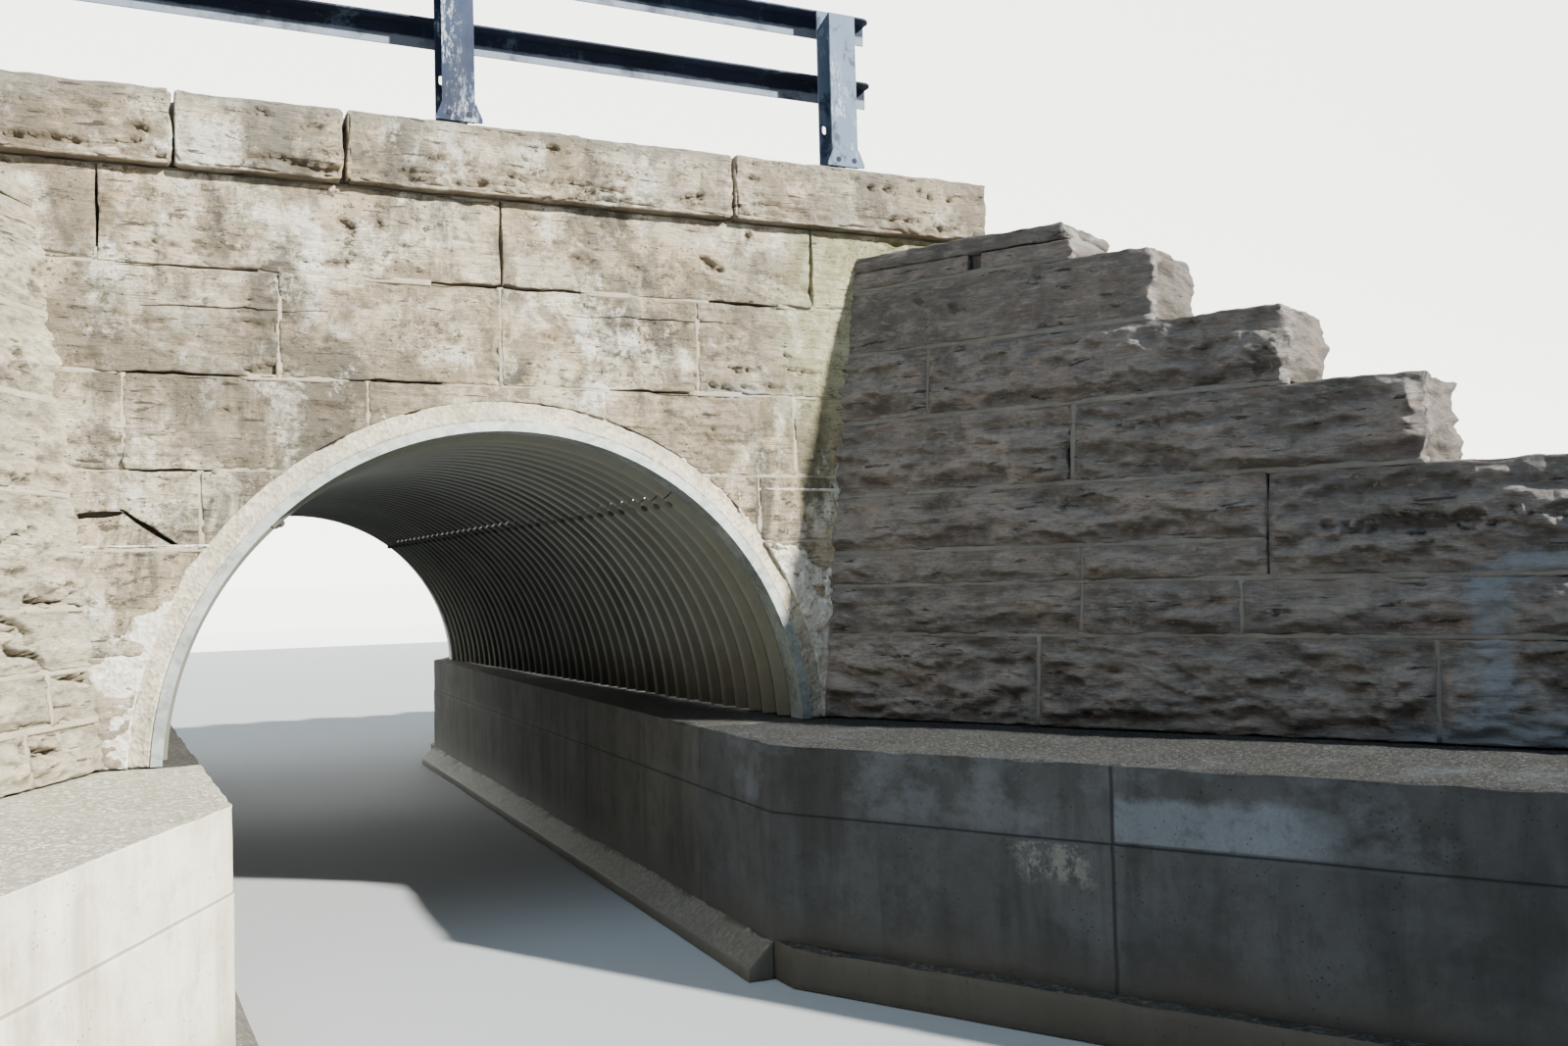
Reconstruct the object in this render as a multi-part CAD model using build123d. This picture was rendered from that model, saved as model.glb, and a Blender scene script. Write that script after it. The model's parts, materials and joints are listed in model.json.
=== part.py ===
from build123d import *
import math
import os

# Small stone bridge with splayed wing walls at both ends; the front is at -Y.
# X runs along the headwalls, Y along the barrel, Z up, millimetres.
# Origin: centre of the plan, at the foot of the walls.

# ---- barrel and arch ---------------------------------------------------
BARREL_L = 6610.0          # between the two outer headwall faces
ARCH_CZ = 820.0            # height of the arch centre
ARCH_R = 1339.0            # outer radius of the steel end band
LEDGE_Z = 875.0            # top of the concrete side walls
STEM_FACE_R = 762.0        # right side wall, inner face at the front corner
STEM_FACE_RB = 1165.0      # the same face at the back corner: it runs askew
STEM_FACE_L = -1165.0      # inner face of the left side wall
STEM_BACK = 1960.0         # outer face of both side walls
FOOT_REACH = 105.0         # projection of the bevelled foot
FOOT_TOP = 145.0           # height where the bevel leaves the wall
FOOT_TOE = 50.0            # height of the foot's vertical toe

# ---- corrugated arch plates -------------------------------------------
PITCH = 152.4
WAVES = 42
WAVE_DEPTH = 50.0
PLATE_T = 6.0
PLATE_R = 1300.0           # mid-surface radius
SEAM_R = 54.5              # lap seam, degrees above horizontal, right
SEAM_L = 134.0             # lap seam, left
LAP_GAP = 0.12             # degrees kept open at each seam

# ---- end band and cement collar ---------------------------------------
BAND_W = 118.0             # length of the band along the barrel
BAND_T = 6.0
BAND_LEG = 40.0            # width of the leg that lies against the masonry
BAND_PROUD = 18.0          # band projects this far out of the masonry face
COLLAR_R = 1425.0          # masonry opening radius
COLLAR_RECESS = 12.0

# ---- headwall ----------------------------------------------------------
WALL_Y = -BARREL_L / 2.0
WALL_T = 600.0
WALL_HALF = 2290.0
WALL_TOP = 3064.0

# ---- coping ------------------------------------------------------------
COPING_T = 288.0
COPING_PROUD = 62.0
COPING_D = 730.0
COPING_JOINTS = [-2350.0, -1245.0, -630.0, 1010.0, 2335.0]
COPING_GAP = 9.0

# ---- wing walls --------------------------------------------------------
WING_ANG = 27.5            # flare from the barrel's direction
WING_CORNER_R = 1407.0     # right wing's face at the headwall, ledge level
WING_CORNER_L = 1480.0     # left wing's, on the other side
WING_BATTER = 0.098
WING_T = 655.0             # thickness at ledge level
WING_STEPS = [             # (end along the wall, top above the ledge)
    (1190.0, 2080.0), (1535.0, 1920.0), (2060.0, 1620.0), (2540.0, 1310.0),
    (3060.0, 980.0), (3530.0, 580.0), (4060.0, 367.0)]

# ---- concrete toe walls (benches) --------------------------------------
TOE_CORNER_R = -4092.0     # y of the right convex corner
TOE_CORNER_RB = 3350.0     # y of the right convex corner at the back
TOE_CORNER_L = -4470.0     # y of the left convex corner
TOE_END = 4160.0           # end along the wing, front
TOE_END_B = 4220.9         # end along the wing, back
TOE_BACK_R = 800.0         # outer side of the toe wall, behind the wing face
TOE_BACK_L = 717.7
TOE_FOOT_H = 150.0
TOE_FOOT_OUT = 70.0

# ---- railing -----------------------------------------------------------
POSTS = [-1949.0, -189.0, 1571.0]
POST_H = 703.0             # at the front flange
POST_RISE = 57.0           # the cut top rises this much to the back flange
POST_B = 130.0
POST_D = 130.0
POST_TF = 10.0
POST_TW = 8.0
POST_FRONT = WALL_Y - COPING_PROUD + 12.0
SLOT = (22.0, 40.0)        # slotted holes in the back flange
SLOT_X = 40.0
SLOT_Z = 200.0
CLIP_T = 10.0              # splayed foot plate in front of each post
CLIP_H = 80.0
CLIP_TOP = 130.0
CLIP_BOTTOM = 186.0
RAIL_END_R = 1805.0
RAIL_END_L = -2183.0
RAIL_LEG = 96.0
RAIL_T = 8.0
RAIL_NOSE = 58.0           # rounding of the level leg's free corners
RAIL_LOW = 359.0           # underside of the lower rail above the coping
RAIL_UP = 664.0

os.makedirs("parts", exist_ok=True)


def prism(points, z0, z1):
    """Upright prism over a plan polygon."""
    with BuildSketch() as sk:
        Polygon(*points, align=None)
    return extrude(sk.sketch, amount=z1 - z0).moved(Location((0, 0, z0)))


def box(x0, x1, y0, y1, z0, z1):
    return Box(x1 - x0, y1 - y0, z1 - z0).moved(
        Location(((x0 + x1) / 2, (y0 + y1) / 2, (z0 + z1) / 2)))


def tunnel(radius, y0, y1):
    """Solid cylinder lying along Y on the arch centre."""
    c = Cylinder(radius, y1 - y0)
    return c.rotate(Axis.X, 90).moved(Location((0, (y0 + y1) / 2, ARCH_CZ)))


def mirror_y(shape):
    return mirror(shape, about=Plane.XZ)


def both(name, shape):
    export_step(shape, "parts/front_%s.step" % name)
    export_step(mirror_y(shape), "parts/back_%s.step" % name)


ABOVE_LEDGE = box(-4000, 4000, -8000, 8000, LEDGE_Z, 6000)

# ---- side walls of the barrel -----------------------------------------
half = BARREL_L / 2


def right_face(y):
    """x of the right side wall's askew inner face."""
    return STEM_FACE_R + (STEM_FACE_RB - STEM_FACE_R) * (y - TOE_CORNER_R) / (
        TOE_CORNER_RB - TOE_CORNER_R)


stem_r = prism([(right_face(-half), -half), (STEM_BACK, -half),
                (STEM_BACK, half), (right_face(half), half)], 0, LEDGE_Z)
stem_l = box(-STEM_BACK, STEM_FACE_L, -half, half, 0, LEDGE_Z)
export_step(stem_r, "parts/right_stem_wall.step")
export_step(stem_l, "parts/left_stem_wall.step")


def stem_foot(p0, p1, sign):
    """Bevelled foot along the inner face from plan point p0 to p1."""
    dx, dy = p1[0] - p0[0], p1[1] - p0[1]
    length = math.hypot(dx, dy)
    ux, uy = dx / length, dy / length
    pl = Plane(origin=(p0[0], p0[1], 0), x_dir=(-sign * uy, sign * ux, 0),
               z_dir=(ux * 1.0, uy * 1.0, 0))
    with BuildSketch() as sk:
        Polygon((0, 0), (FOOT_REACH, 0), (FOOT_REACH, FOOT_TOE), (0, FOOT_TOP),
                align=None)
    up = pl.y_dir.Z
    face = sk.sketch if up > 0 else mirror(sk.sketch, about=Plane.XZ)
    return extrude(pl * face, amount=length, dir=(ux, uy, 0))


export_step(stem_foot((STEM_FACE_R, TOE_CORNER_R), (STEM_FACE_RB, TOE_CORNER_RB), 1),
            "parts/right_stem_foot.step")
export_step(stem_foot((STEM_FACE_L, TOE_CORNER_L), (STEM_FACE_L, -TOE_CORNER_L), -1),
            "parts/left_stem_foot.step")

# ---- corrugated plates -------------------------------------------------


def wave_profile(steps=8):
    """Closed band of the corrugation in the plane x = radius, y = length."""
    outer, inner = [], []
    n = WAVES * steps
    total = WAVES * PITCH
    for i in range(n + 1):
        t = i / float(n)
        y = -total / 2 + total * t
        ph = 2 * math.pi * i / steps
        r = PLATE_R + WAVE_DEPTH / 2 * math.cos(ph)
        slope = -WAVE_DEPTH / 2 * math.sin(ph) * 2 * math.pi / PITCH
        k = math.hypot(1.0, slope)
        nx, ny = 1 / k, -slope / k
        outer.append((r + nx * PLATE_T / 2, y + ny * PLATE_T / 2))
        inner.append((r - nx * PLATE_T / 2, y - ny * PLATE_T / 2))
    return outer + inner[::-1]


def plate(a0, a1):
    with BuildSketch() as sk:
        Polygon(*wave_profile(), align=None)
    s = revolve(sk.sketch, axis=Axis.Y, revolution_arc=a1 - a0)
    # revolve about Y carries +X toward -Z: turn it up to its own angles
    s = s.rotate(Axis.Y, -a1)
    return s.moved(Location((0, 0, ARCH_CZ)))


foot_ang = math.degrees(math.asin((LEDGE_Z - ARCH_CZ) / PLATE_R)) + 0.25
for name, a0, a1 in (("liner_right_plate", foot_ang, SEAM_R - LAP_GAP),
                     ("liner_crown_plate", SEAM_R + LAP_GAP, SEAM_L - LAP_GAP),
                     ("liner_left_plate", SEAM_L + LAP_GAP, 180 - foot_ang)):
    export_step(plate(a0, a1), "parts/%s.step" % name)

# ---- end band: a sheet ring with one leg turned out over the masonry ----
band_in = ARCH_R - BAND_LEG
by = WALL_Y - BAND_PROUD
band = tunnel(band_in + BAND_T, by, by + BAND_W) + tunnel(ARCH_R, by, by + BAND_T)
band -= tunnel(band_in, by - 300, by + 400)
band = band & ABOVE_LEDGE
both("end_band", band)

# ---- cement collar -----------------------------------------------------
collar = tunnel(COLLAR_R, WALL_Y + COLLAR_RECESS, WALL_Y + WALL_T) \
    - tunnel(ARCH_R, WALL_Y - 400, WALL_Y + WALL_T + 400)
collar = collar & ABOVE_LEDGE
both("cement_collar", collar)

# ---- headwall ----------------------------------------------------------
headwall = box(-WALL_HALF, WALL_HALF, WALL_Y, WALL_Y + WALL_T, LEDGE_Z, WALL_TOP)
headwall -= tunnel(COLLAR_R, WALL_Y - 400, WALL_Y + WALL_T + 400)
both("headwall", headwall)

# ---- coping ------------------------------------------------------------
slabs = []
cy0 = WALL_Y - COPING_PROUD
for a, b in zip(COPING_JOINTS[:-1], COPING_JOINTS[1:]):
    x0 = a + (COPING_GAP / 2 if a != COPING_JOINTS[0] else 0)
    x1 = b - (COPING_GAP / 2 if b != COPING_JOINTS[-1] else 0)
    slabs.append(box(x0, x1, cy0, cy0 + COPING_D, WALL_TOP, WALL_TOP + COPING_T))
both("coping", Compound(children=slabs))

# ---- wing walls --------------------------------------------------------
ca, sa = math.cos(math.radians(WING_ANG)), math.sin(math.radians(WING_ANG))


def wing_pt(along, off, corner):
    """Plan point of a right front wing: along the wall, off behind its face."""
    return (corner + along * sa + off * ca, WALL_Y - along * ca + off * sa)


def wing_wall(corner):
    """Right front wing wall: battered face, plumb back, stepped top."""
    h = WING_STEPS[0][1]
    start = -700.0
    total = WING_STEPS[-1][0]
    section = [(0, 0), (WING_T, 0), (WING_T, h), (WING_BATTER * h, h)]
    # section in the plane across the wall, at along = start
    ox, oy = wing_pt(start, 0, corner)
    pl = Plane(origin=(ox, oy, LEDGE_Z), x_dir=(ca, sa, 0), z_dir=(sa, -ca, 0))
    with BuildSketch(pl) as sk:
        Polygon(*[(u, v) for u, v in section], align=None)
    w = extrude(sk.sketch, amount=total - start, dir=(sa, -ca, 0))
    for (a, top), (nxt, ntop) in zip(WING_STEPS[:-1], WING_STEPS[1:]):
        cut = prism([wing_pt(a, -900, corner), wing_pt(total + 300, -900, corner),
                     wing_pt(total + 300, 1500, corner), wing_pt(a, 1500, corner)],
                    LEDGE_Z + ntop, LEDGE_Z + h + 400)
        w -= cut
    w -= box(-6000, 6000, WALL_Y, WALL_Y + 3000, 0, 6000)
    return w


def mirror_x(shape):
    return mirror(shape, about=Plane.YZ)


both("right_wing_wall", wing_wall(WING_CORNER_R))
both("left_wing_wall", mirror_x(wing_wall(WING_CORNER_L)))

# ---- concrete toe walls ------------------------------------------------


def toe_line(face, corner_y, corner, out=0.0):
    """Offset of the toe wall's front line and where it meets the corner."""
    off = -((corner - face) * ca + (WALL_Y - corner_y) * sa)
    if not out:
        return off, (face, corner_y)
    off -= out
    return off, wing_pt((face - (corner + off * ca)) / sa, off, corner)


def toe_wall(face, corner_y, root, corner, end, back):
    """Right front toe wall; root is its inner face at the headwall line."""
    off, pc = toe_line(face, corner_y, corner)
    return prism([(root, WALL_Y), pc, wing_pt(end, off, corner),
                  wing_pt(end, back, corner),
                  wing_pt(back * sa / ca, back, corner)], 0, LEDGE_Z)


def toe_foot(face, corner_y, corner, end):
    """Low strip of wider footing in front of the toe wall."""
    off, pc = toe_line(face, corner_y, corner)
    off2, pc2 = toe_line(face, corner_y, corner, TOE_FOOT_OUT)
    return prism([pc, pc2, wing_pt(end, off2, corner),
                  wing_pt(end, off, corner)], 0, TOE_FOOT_H)


left_root = -STEM_FACE_L
# side, turn into place, face, corner, root, wing corner, end, outer side
for name, turn, face, cy, root, corner, end, back in (
        ("front_right", lambda s: s, STEM_FACE_R, TOE_CORNER_R,
         right_face(-half), WING_CORNER_R, TOE_END, TOE_BACK_R),
        ("back_right", mirror_y, STEM_FACE_RB, -TOE_CORNER_RB,
         right_face(half), WING_CORNER_R, TOE_END_B, TOE_BACK_R),
        ("front_left", mirror_x, left_root, TOE_CORNER_L,
         left_root, WING_CORNER_L, TOE_END, TOE_BACK_L),
        ("back_left", lambda s: mirror_x(mirror_y(s)), left_root, TOE_CORNER_L,
         left_root, WING_CORNER_L, TOE_END_B, TOE_BACK_L)):
    export_step(turn(toe_wall(face, cy, root, corner, end, back)),
                "parts/%s_toe_wall.step" % name)
    export_step(turn(toe_foot(face, cy, corner, end)),
                "parts/%s_toe_footing.step" % name)

# ---- railing -----------------------------------------------------------
top = WALL_TOP + COPING_T


def side_prism(points, x0, x1):
    """Prism along X over a polygon of (y, z) points."""
    with BuildSketch(Plane.YZ) as sk:
        Polygon(*points, align=None)
    return extrude(sk.sketch, amount=x1 - x0).moved(Location((x0, 0, 0)))


def front_prism(points, y0, y1):
    """Prism along Y over a polygon of (x, z) points."""
    with BuildSketch(Plane.XZ) as sk:
        Polygon(*points, align=None)
    s = extrude(sk.sketch, amount=y1 - y0)
    return s.moved(Location((0, y0 - s.bounding_box().min.Y, 0)))


def h_post(x):
    y0 = POST_FRONT
    tall = top + POST_H + POST_RISE + 20
    p = box(x - POST_B / 2, x + POST_B / 2, y0, y0 + POST_TF, top, tall)
    p += box(x - POST_B / 2, x + POST_B / 2, y0 + POST_D - POST_TF, y0 + POST_D,
             top, tall)
    p += box(x - POST_TW / 2, x + POST_TW / 2, y0 + POST_TF, y0 + POST_D - POST_TF,
             top, tall)
    # the top is cut on a slope, low at the front
    p -= side_prism([(y0 - 5, top + POST_H), (y0, top + POST_H),
                     (y0 + POST_D, top + POST_H + POST_RISE),
                     (y0 + POST_D + 5, top + POST_H + POST_RISE),
                     (y0 + POST_D + 5, tall + 50), (y0 - 5, tall + 50)],
                    x - POST_B, x + POST_B)
    for sx in (-SLOT_X, SLOT_X):
        with BuildSketch(Plane.XZ) as sk:
            SlotOverall(SLOT[1], SLOT[0], rotation=90)
        hole = extrude(sk.sketch, amount=60, both=True)
        p -= hole.moved(Location((x + sx, y0 + POST_D, top + SLOT_Z)))
    return p


def clip(x):
    a, b = CLIP_BOTTOM / 2, CLIP_TOP / 2
    return front_prism([(x - a, top), (x + a, top), (x + a, top + 14),
                        (x + b, top + CLIP_H), (x - b, top + CLIP_H),
                        (x - a, top + 14)], POST_FRONT - CLIP_T, POST_FRONT)


both("railing_posts", Compound(children=[h_post(x) for x in POSTS]))
both("post_clips", Compound(children=[clip(x) for x in POSTS]))


def angle_rail(z):
    """Rolled angle behind the posts: level leg on top, hanging leg at the back."""
    y0 = POST_FRONT + POST_D
    with BuildSketch() as sk:
        with Locations(((RAIL_END_L + RAIL_END_R) / 2, y0 + RAIL_LEG / 2)):
            Rectangle(RAIL_END_R - RAIL_END_L, RAIL_LEG)
        fillet(sk.vertices().sort_by(Axis.Y)[:2], radius=RAIL_NOSE)
    level = extrude(sk.sketch, amount=RAIL_T).moved(
        Location((0, 0, z + RAIL_LEG - RAIL_T)))
    return level + box(RAIL_END_L, RAIL_END_R, y0 + RAIL_LEG - RAIL_T, y0 + RAIL_LEG,
                       z, z + RAIL_LEG)


both("lower_rail", angle_rail(top + RAIL_LOW))
both("upper_rail", angle_rail(top + RAIL_UP))
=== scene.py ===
import json
import math

import bpy
import bmesh
import numpy as np
from mathutils import Matrix, Vector


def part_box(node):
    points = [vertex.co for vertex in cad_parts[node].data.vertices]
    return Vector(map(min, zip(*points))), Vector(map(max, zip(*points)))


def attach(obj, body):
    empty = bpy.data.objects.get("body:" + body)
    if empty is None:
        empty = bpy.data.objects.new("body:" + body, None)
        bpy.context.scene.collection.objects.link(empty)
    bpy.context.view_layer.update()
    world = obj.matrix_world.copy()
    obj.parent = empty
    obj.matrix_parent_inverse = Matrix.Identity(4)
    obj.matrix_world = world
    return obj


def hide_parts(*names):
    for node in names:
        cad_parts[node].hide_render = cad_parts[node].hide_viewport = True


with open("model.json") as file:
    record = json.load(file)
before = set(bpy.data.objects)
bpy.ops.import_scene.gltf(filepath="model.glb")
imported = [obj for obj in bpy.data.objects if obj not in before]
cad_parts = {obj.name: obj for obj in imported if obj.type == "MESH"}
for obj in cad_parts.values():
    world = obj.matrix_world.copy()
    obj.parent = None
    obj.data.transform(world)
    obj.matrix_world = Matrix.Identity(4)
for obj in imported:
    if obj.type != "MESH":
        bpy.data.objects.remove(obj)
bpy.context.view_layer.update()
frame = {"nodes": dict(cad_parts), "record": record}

# ------------------------------------------------------------------ sizes
WALL_Y = -3.305          # front face of the headwall
WALL_T = 0.600
LEDGE = 0.875            # top of the concrete
WALL_TOP = 3.064
HALF = 2.290
ARCH_Z = 0.820
ARCH_R = 1.339
COLLAR_R = 1.425
COPING_T = 0.288
COPING_D = 0.730
COPING_PROUD = 0.062
ANG = math.radians(27.5)
CA, SA = math.cos(ANG), math.sin(ANG)
BATTER = 0.098
WING_T = 0.655
CORNER = {1: 1.407, -1: 1.480}
STEPS = [(1.190, 2.080), (1.535, 1.920), (2.060, 1.620), (2.540, 1.310),
         (3.060, 0.980), (3.530, 0.580), (4.060, 0.367)]
POSTS = (-1.949, -0.189, 1.571)

K = 1.0


# ------------------------------------------------------------------ noise
def _hash(x, y, z, s):
    n = (x * 374761393 + y * 668265263 + z * 1440662683 + s * 982451653) & 0xFFFFFFFF
    n = ((n ^ (n >> 13)) * 1274126177) & 0xFFFFFFFF
    n = n ^ (n >> 16)
    n = (n * 1103515245 + 12345) & 0xFFFFFFFF
    return n ^ (n >> 15)


def noise(p, s=0):
    """Gradient noise, about -0.8 to 0.8."""
    i = np.floor(p).astype(np.int64)
    f = p - i
    u = f * f * f * (f * (f * 6 - 15) + 10)
    out = np.zeros(len(p))
    for dx in (0, 1):
        wx = u[:, 0] if dx else 1 - u[:, 0]
        for dy in (0, 1):
            wy = u[:, 1] if dy else 1 - u[:, 1]
            for dz in (0, 1):
                wz = u[:, 2] if dz else 1 - u[:, 2]
                h = _hash(i[:, 0] + dx, i[:, 1] + dy, i[:, 2] + dz, s)
                g = ((h & 1023) / 511.5 - 1) * (f[:, 0] - dx)
                g += (((h >> 10) & 1023) / 511.5 - 1) * (f[:, 1] - dy)
                g += (((h >> 20) & 1023) / 511.5 - 1) * (f[:, 2] - dz)
                out += g * wx * wy * wz
    return out * 1.35


def fbm(p, octaves=4, s=0, gain=0.5):
    out, amp, q = np.zeros(len(p)), 1.0, np.array(p, float)
    for k in range(octaves):
        out += amp * noise(q, s + 17 * k)
        q = q * 2.03 + 3.7
        amp *= gain
    return out


def cells(p, s=0):
    """Cell noise: distance to the nearest point, and a random number of its cell."""
    i = np.floor(p).astype(np.int64)
    f1 = np.full(len(p), 9.0)
    ida = np.zeros(len(p))
    for dx in (-1, 0, 1):
        for dy in (-1, 0, 1):
            for dz in (-1, 0, 1):
                c = i + np.array([dx, dy, dz])
                h = _hash(c[:, 0], c[:, 1], c[:, 2], s)
                q = c + np.stack([(h & 1023) / 1023.0, ((h >> 10) & 1023) / 1023.0,
                                  ((h >> 20) & 1023) / 1023.0], 1)
                d = np.sqrt(((q - p) ** 2).sum(1))
                near = d < f1
                f1 = np.where(near, d, f1)
                ida = np.where(near, (h & 255) / 255.0, ida)
    return f1, ida


def sstep(a, b, x):
    t = np.clip((x - a) / (b - a), 0, 1)
    return t * t * (3 - 2 * t)


def terrace(x, n, a=0.30, b=0.70):
    """Steps with short risers: the broken edges of the beds."""
    t = x * n
    i = np.floor(t)
    return (i + sstep(a, b, t - i)) / n


# ------------------------------------------------- displacement of a face
def rock_face(q, e, s, amount=1.0, rel=0.5):
    """Split face: drafted margin, a bulge tucked under at its foot, and ledges of broken beds."""
    w = q + 0.030 * np.stack([noise(q * 5, s + 1), noise(q * 5 + 9, s + 2), noise(q * 5 + 21, s + 3)], 1)
    r = rel + 0.30 * noise(w * np.array([2.2, 3.0, 2.2]), s + 30)
    bulge = sstep(-0.05, 0.34, r) * (1 - 0.8 * sstep(0.40, 1.05, r))
    big = fbm(w * np.array([2.0, 3.4, 2.0]), 3, s + 4)
    led = terrace(fbm(w * np.array([2.5, 9.5, 2.0]), 3, s + 5), 5, 0.40, 0.62)
    led2 = terrace(fbm(w * np.array([8.5, 24.0, 5.0]), 3, s + 6), 4, 0.38, 0.62)
    f1, ra = cells(w * np.array([7.0, 12.0, 2.0]), s + 7)
    scoop = (np.minimum(f1, 1.0) ** 2 - 0.4) * (0.3 + 0.9 * ra)
    d = 0.026 * (bulge - 0.30) + 0.012 * big + 0.034 * led + 0.020 * led2 + 0.012 * scoop
    d += 0.0055 * fbm(q * np.array([28, 48, 28]), 2, s + 8)
    inside = sstep(0.0, 0.045, e + 0.010 * noise(q * 11, s + 9))
    edge = 0.0035 * noise(q * 9, s + 10) - 0.002
    return amount * (d * inside + edge * (1 - inside))


def worn_face(q, e, s, amount=1.0, rel=0.5):
    """A split face long weathered: lower ledges, flakes and pits."""
    return rock_face(q, e, s, 0.62 * amount, rel) + sawn_face(q, e, s + 40, 1.1)


def split_bed(q, e, s, amount=1.0, rel=0.5):
    """A bedded stone: fine parallel grooves, few ledges."""
    lay = (q[:, 1] + 0.006 * noise(q * np.array([1.5, 3, 1.5]), s + 1)) / 0.017
    li = np.floor(lay).astype(np.int64)
    lf = lay - li
    lh = (_hash(li, li * 0, li * 0 + s, 5) & 255) / 255.0
    groove = np.exp(-((lf - 0.5) / 0.2) ** 2) * lh
    d = 0.010 * fbm(q * np.array([1.3, 3.0, 1.3]), 3, s + 2) - 0.0042 * groove
    d += 0.013 * terrace(fbm(q * np.array([2.0, 9.0, 2.0]), 3, s + 3), 3)
    d += 0.0018 * fbm(q * np.array([20, 50, 20]), 2, s + 8)
    p1, pa = cells(q * np.array([6.0, 9.0, 6.0]), s + 5)
    d -= 0.012 * (pa < 0.2) * sstep(0.26, 0.08, p1)
    return amount * d * sstep(-0.01, 0.03, e)


def scars(q, places):
    """Broken hollows at given places: (u, v, half length, half height, depth, lean)."""
    d = np.zeros(len(q))
    for u, v, a, b, dep, lean in places:
        near = (np.abs(q[:, 0] - u) < a * 2.6) & (np.abs(q[:, 1] - v) < b * 3.5 + a * 0.6)
        if not near.any():
            continue
        p = q[near]
        ragged = fbm(p * np.array([24, 62, 24]), 3, 3)
        x = (p[:, 0] - u) + 0.5 * a * noise(p * np.array([13, 30, 13]), 5)
        y = (p[:, 1] - v) - lean * (p[:, 0] - u) + 0.7 * b * noise(p * np.array([17, 22, 17]), 4)
        # steep roof, broken sloping floor
        y = np.where(y > 0, y * 1.6, y * 0.7)
        f = (x / a) ** 2 + (y / b) ** 2 + 1.1 * ragged
        step = 0.55 + 0.45 * terrace(0.5 + 0.6 * noise(p * np.array([20, 50, 20]), 9), 3)
        d[near] -= dep * sstep(0.95, 0.55, f) * step
    return d


def cracks(q, paths, half, depth):
    """Open cracks along given lines of points."""
    dist = np.full(len(q), 9.0)
    w = q[:, :2] + 0.010 * np.stack([noise(q * 24, 61), noise(q * 24, 62)], 1)
    for path in paths:
        for a, b in zip(path[:-1], path[1:]):
            a, b = np.array(a), np.array(b)
            t = np.clip(((w - a) @ (b - a)) / max(((b - a) ** 2).sum(), 1e-9), 0, 1)
            dist = np.minimum(dist, np.hypot(*(w - a - t[:, None] * (b - a)).T))
    wide = half * (1 + 0.7 * noise(q * 13, 63))
    return -depth * sstep(1.25, 0.55, dist / wide)


HEAD_SCARS = [(0.913, 1.997, .055, .022, .034, -.45), (1.100, 2.137, .022, .018, .03, 0),
              (1.051, 1.545, .070, .018, .028, -.10), (1.330, 1.548, .060, .016, .028, -.15),
              (1.273, 1.610, .022, .014, .022, 0), (0.101, 1.892, .030, .012, .014, 0),
              (-1.336, 1.909, .050, .016, .022, .5), (-1.250, 1.905, .040, .010, .016, 0),
              (-1.129, 1.911, .070, .015, .020, .25), (-0.618, 2.036, .038, .026, .032, -.3),
              (-0.506, 2.042, .024, .024, .024, .2), (-0.664, 1.887, .085, .018, .028, 0),
              (-0.405, 1.976, .022, .016, .024, 0), (-0.329, 1.928, .070, .008, .012, 0),
              (-1.338, 1.613, .050, .012, .018, .2), (-0.930, 1.465, .100, .030, .030, .1),
              (0.611, 1.718, .045, .012, .014, 0), (0.744, 1.662, .030, .014, .012, 0),
              (0.179, 1.633, .040, .014, .012, 0), (0.391, 1.600, .035, .040, .014, .8),
              (0.968, 1.452, .110, .028, .026, 0), (1.206, 1.467, .050, .020, .018, 0),
              (0.36, 2.04, .030, .016, .020, .2), (0.30, 1.985, .026, .014, .018, 0),
              (0.62, 2.085, .035, .012, .014, .3), (0.55, 1.955, .045, .012, .016, -.1),
              (-1.05, 1.30, .060, .014, .018, 0), (-1.32, 1.20, .050, .012, .018, .1),
              (-0.72, 1.58, .060, .012, .014, 0), (-0.22, 1.60, .060, .014, .014, .1)]
COPING_SCARS = [(-1.368, .129, .050, .018, .030, 0), (-1.397, .075, .060, .012, .030, .1),
                (-0.937, .236, .035, .014, .022, -.3), (-0.743, .203, .030, .010, .018, 0),
                (-0.95, .062, .075, .012, .026, .1), (-0.74, .052, .060, .010, .020, 0),
                (-1.556, .064, .045, .010, .022, 0), (-1.462, .060, .050, .010, .022, 0),
                (0.192, .223, .028, .022, .034, 0), (0.340, .078, .150, .013, .034, -.06),
                (0.801, .079, .070, .018, .034, .25), (0.585, .060, .050, .010, .022, 0),
                (0.05, .085, .060, .010, .022, -.2), (1.084, .250, .045, .012, .022, 0),
                (1.096, .185, .030, .014, .024, 0), (1.16, .08, .050, .014, .026, .1),
                (1.30, .065, .070, .012, .026, 0), (1.777, .209, .022, .018, .034, 0),
                (1.689, .205, .020, .016, .034, 0), (2.014, .195, .020, .015, .034, 0),
                (1.946, .211, .018, .012, .030, 0), (2.123, .191, .022, .016, .034, 0),
                (1.60, .235, .030, .010, .022, 0), (-1.741, .061, .050, .014, .024, 0),
                (-0.072, .050, .090, .012, .026, .05), (-0.383, .070, .080, .016, .030, .1),
                (-0.152, .040, .080, .012, .024, 0), (-0.30, .130, .060, .012, .020, 0),
                (1.85, .07, .12, .012, .026, 0), (2.10, .055, .08, .012, .026, 0)]


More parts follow.
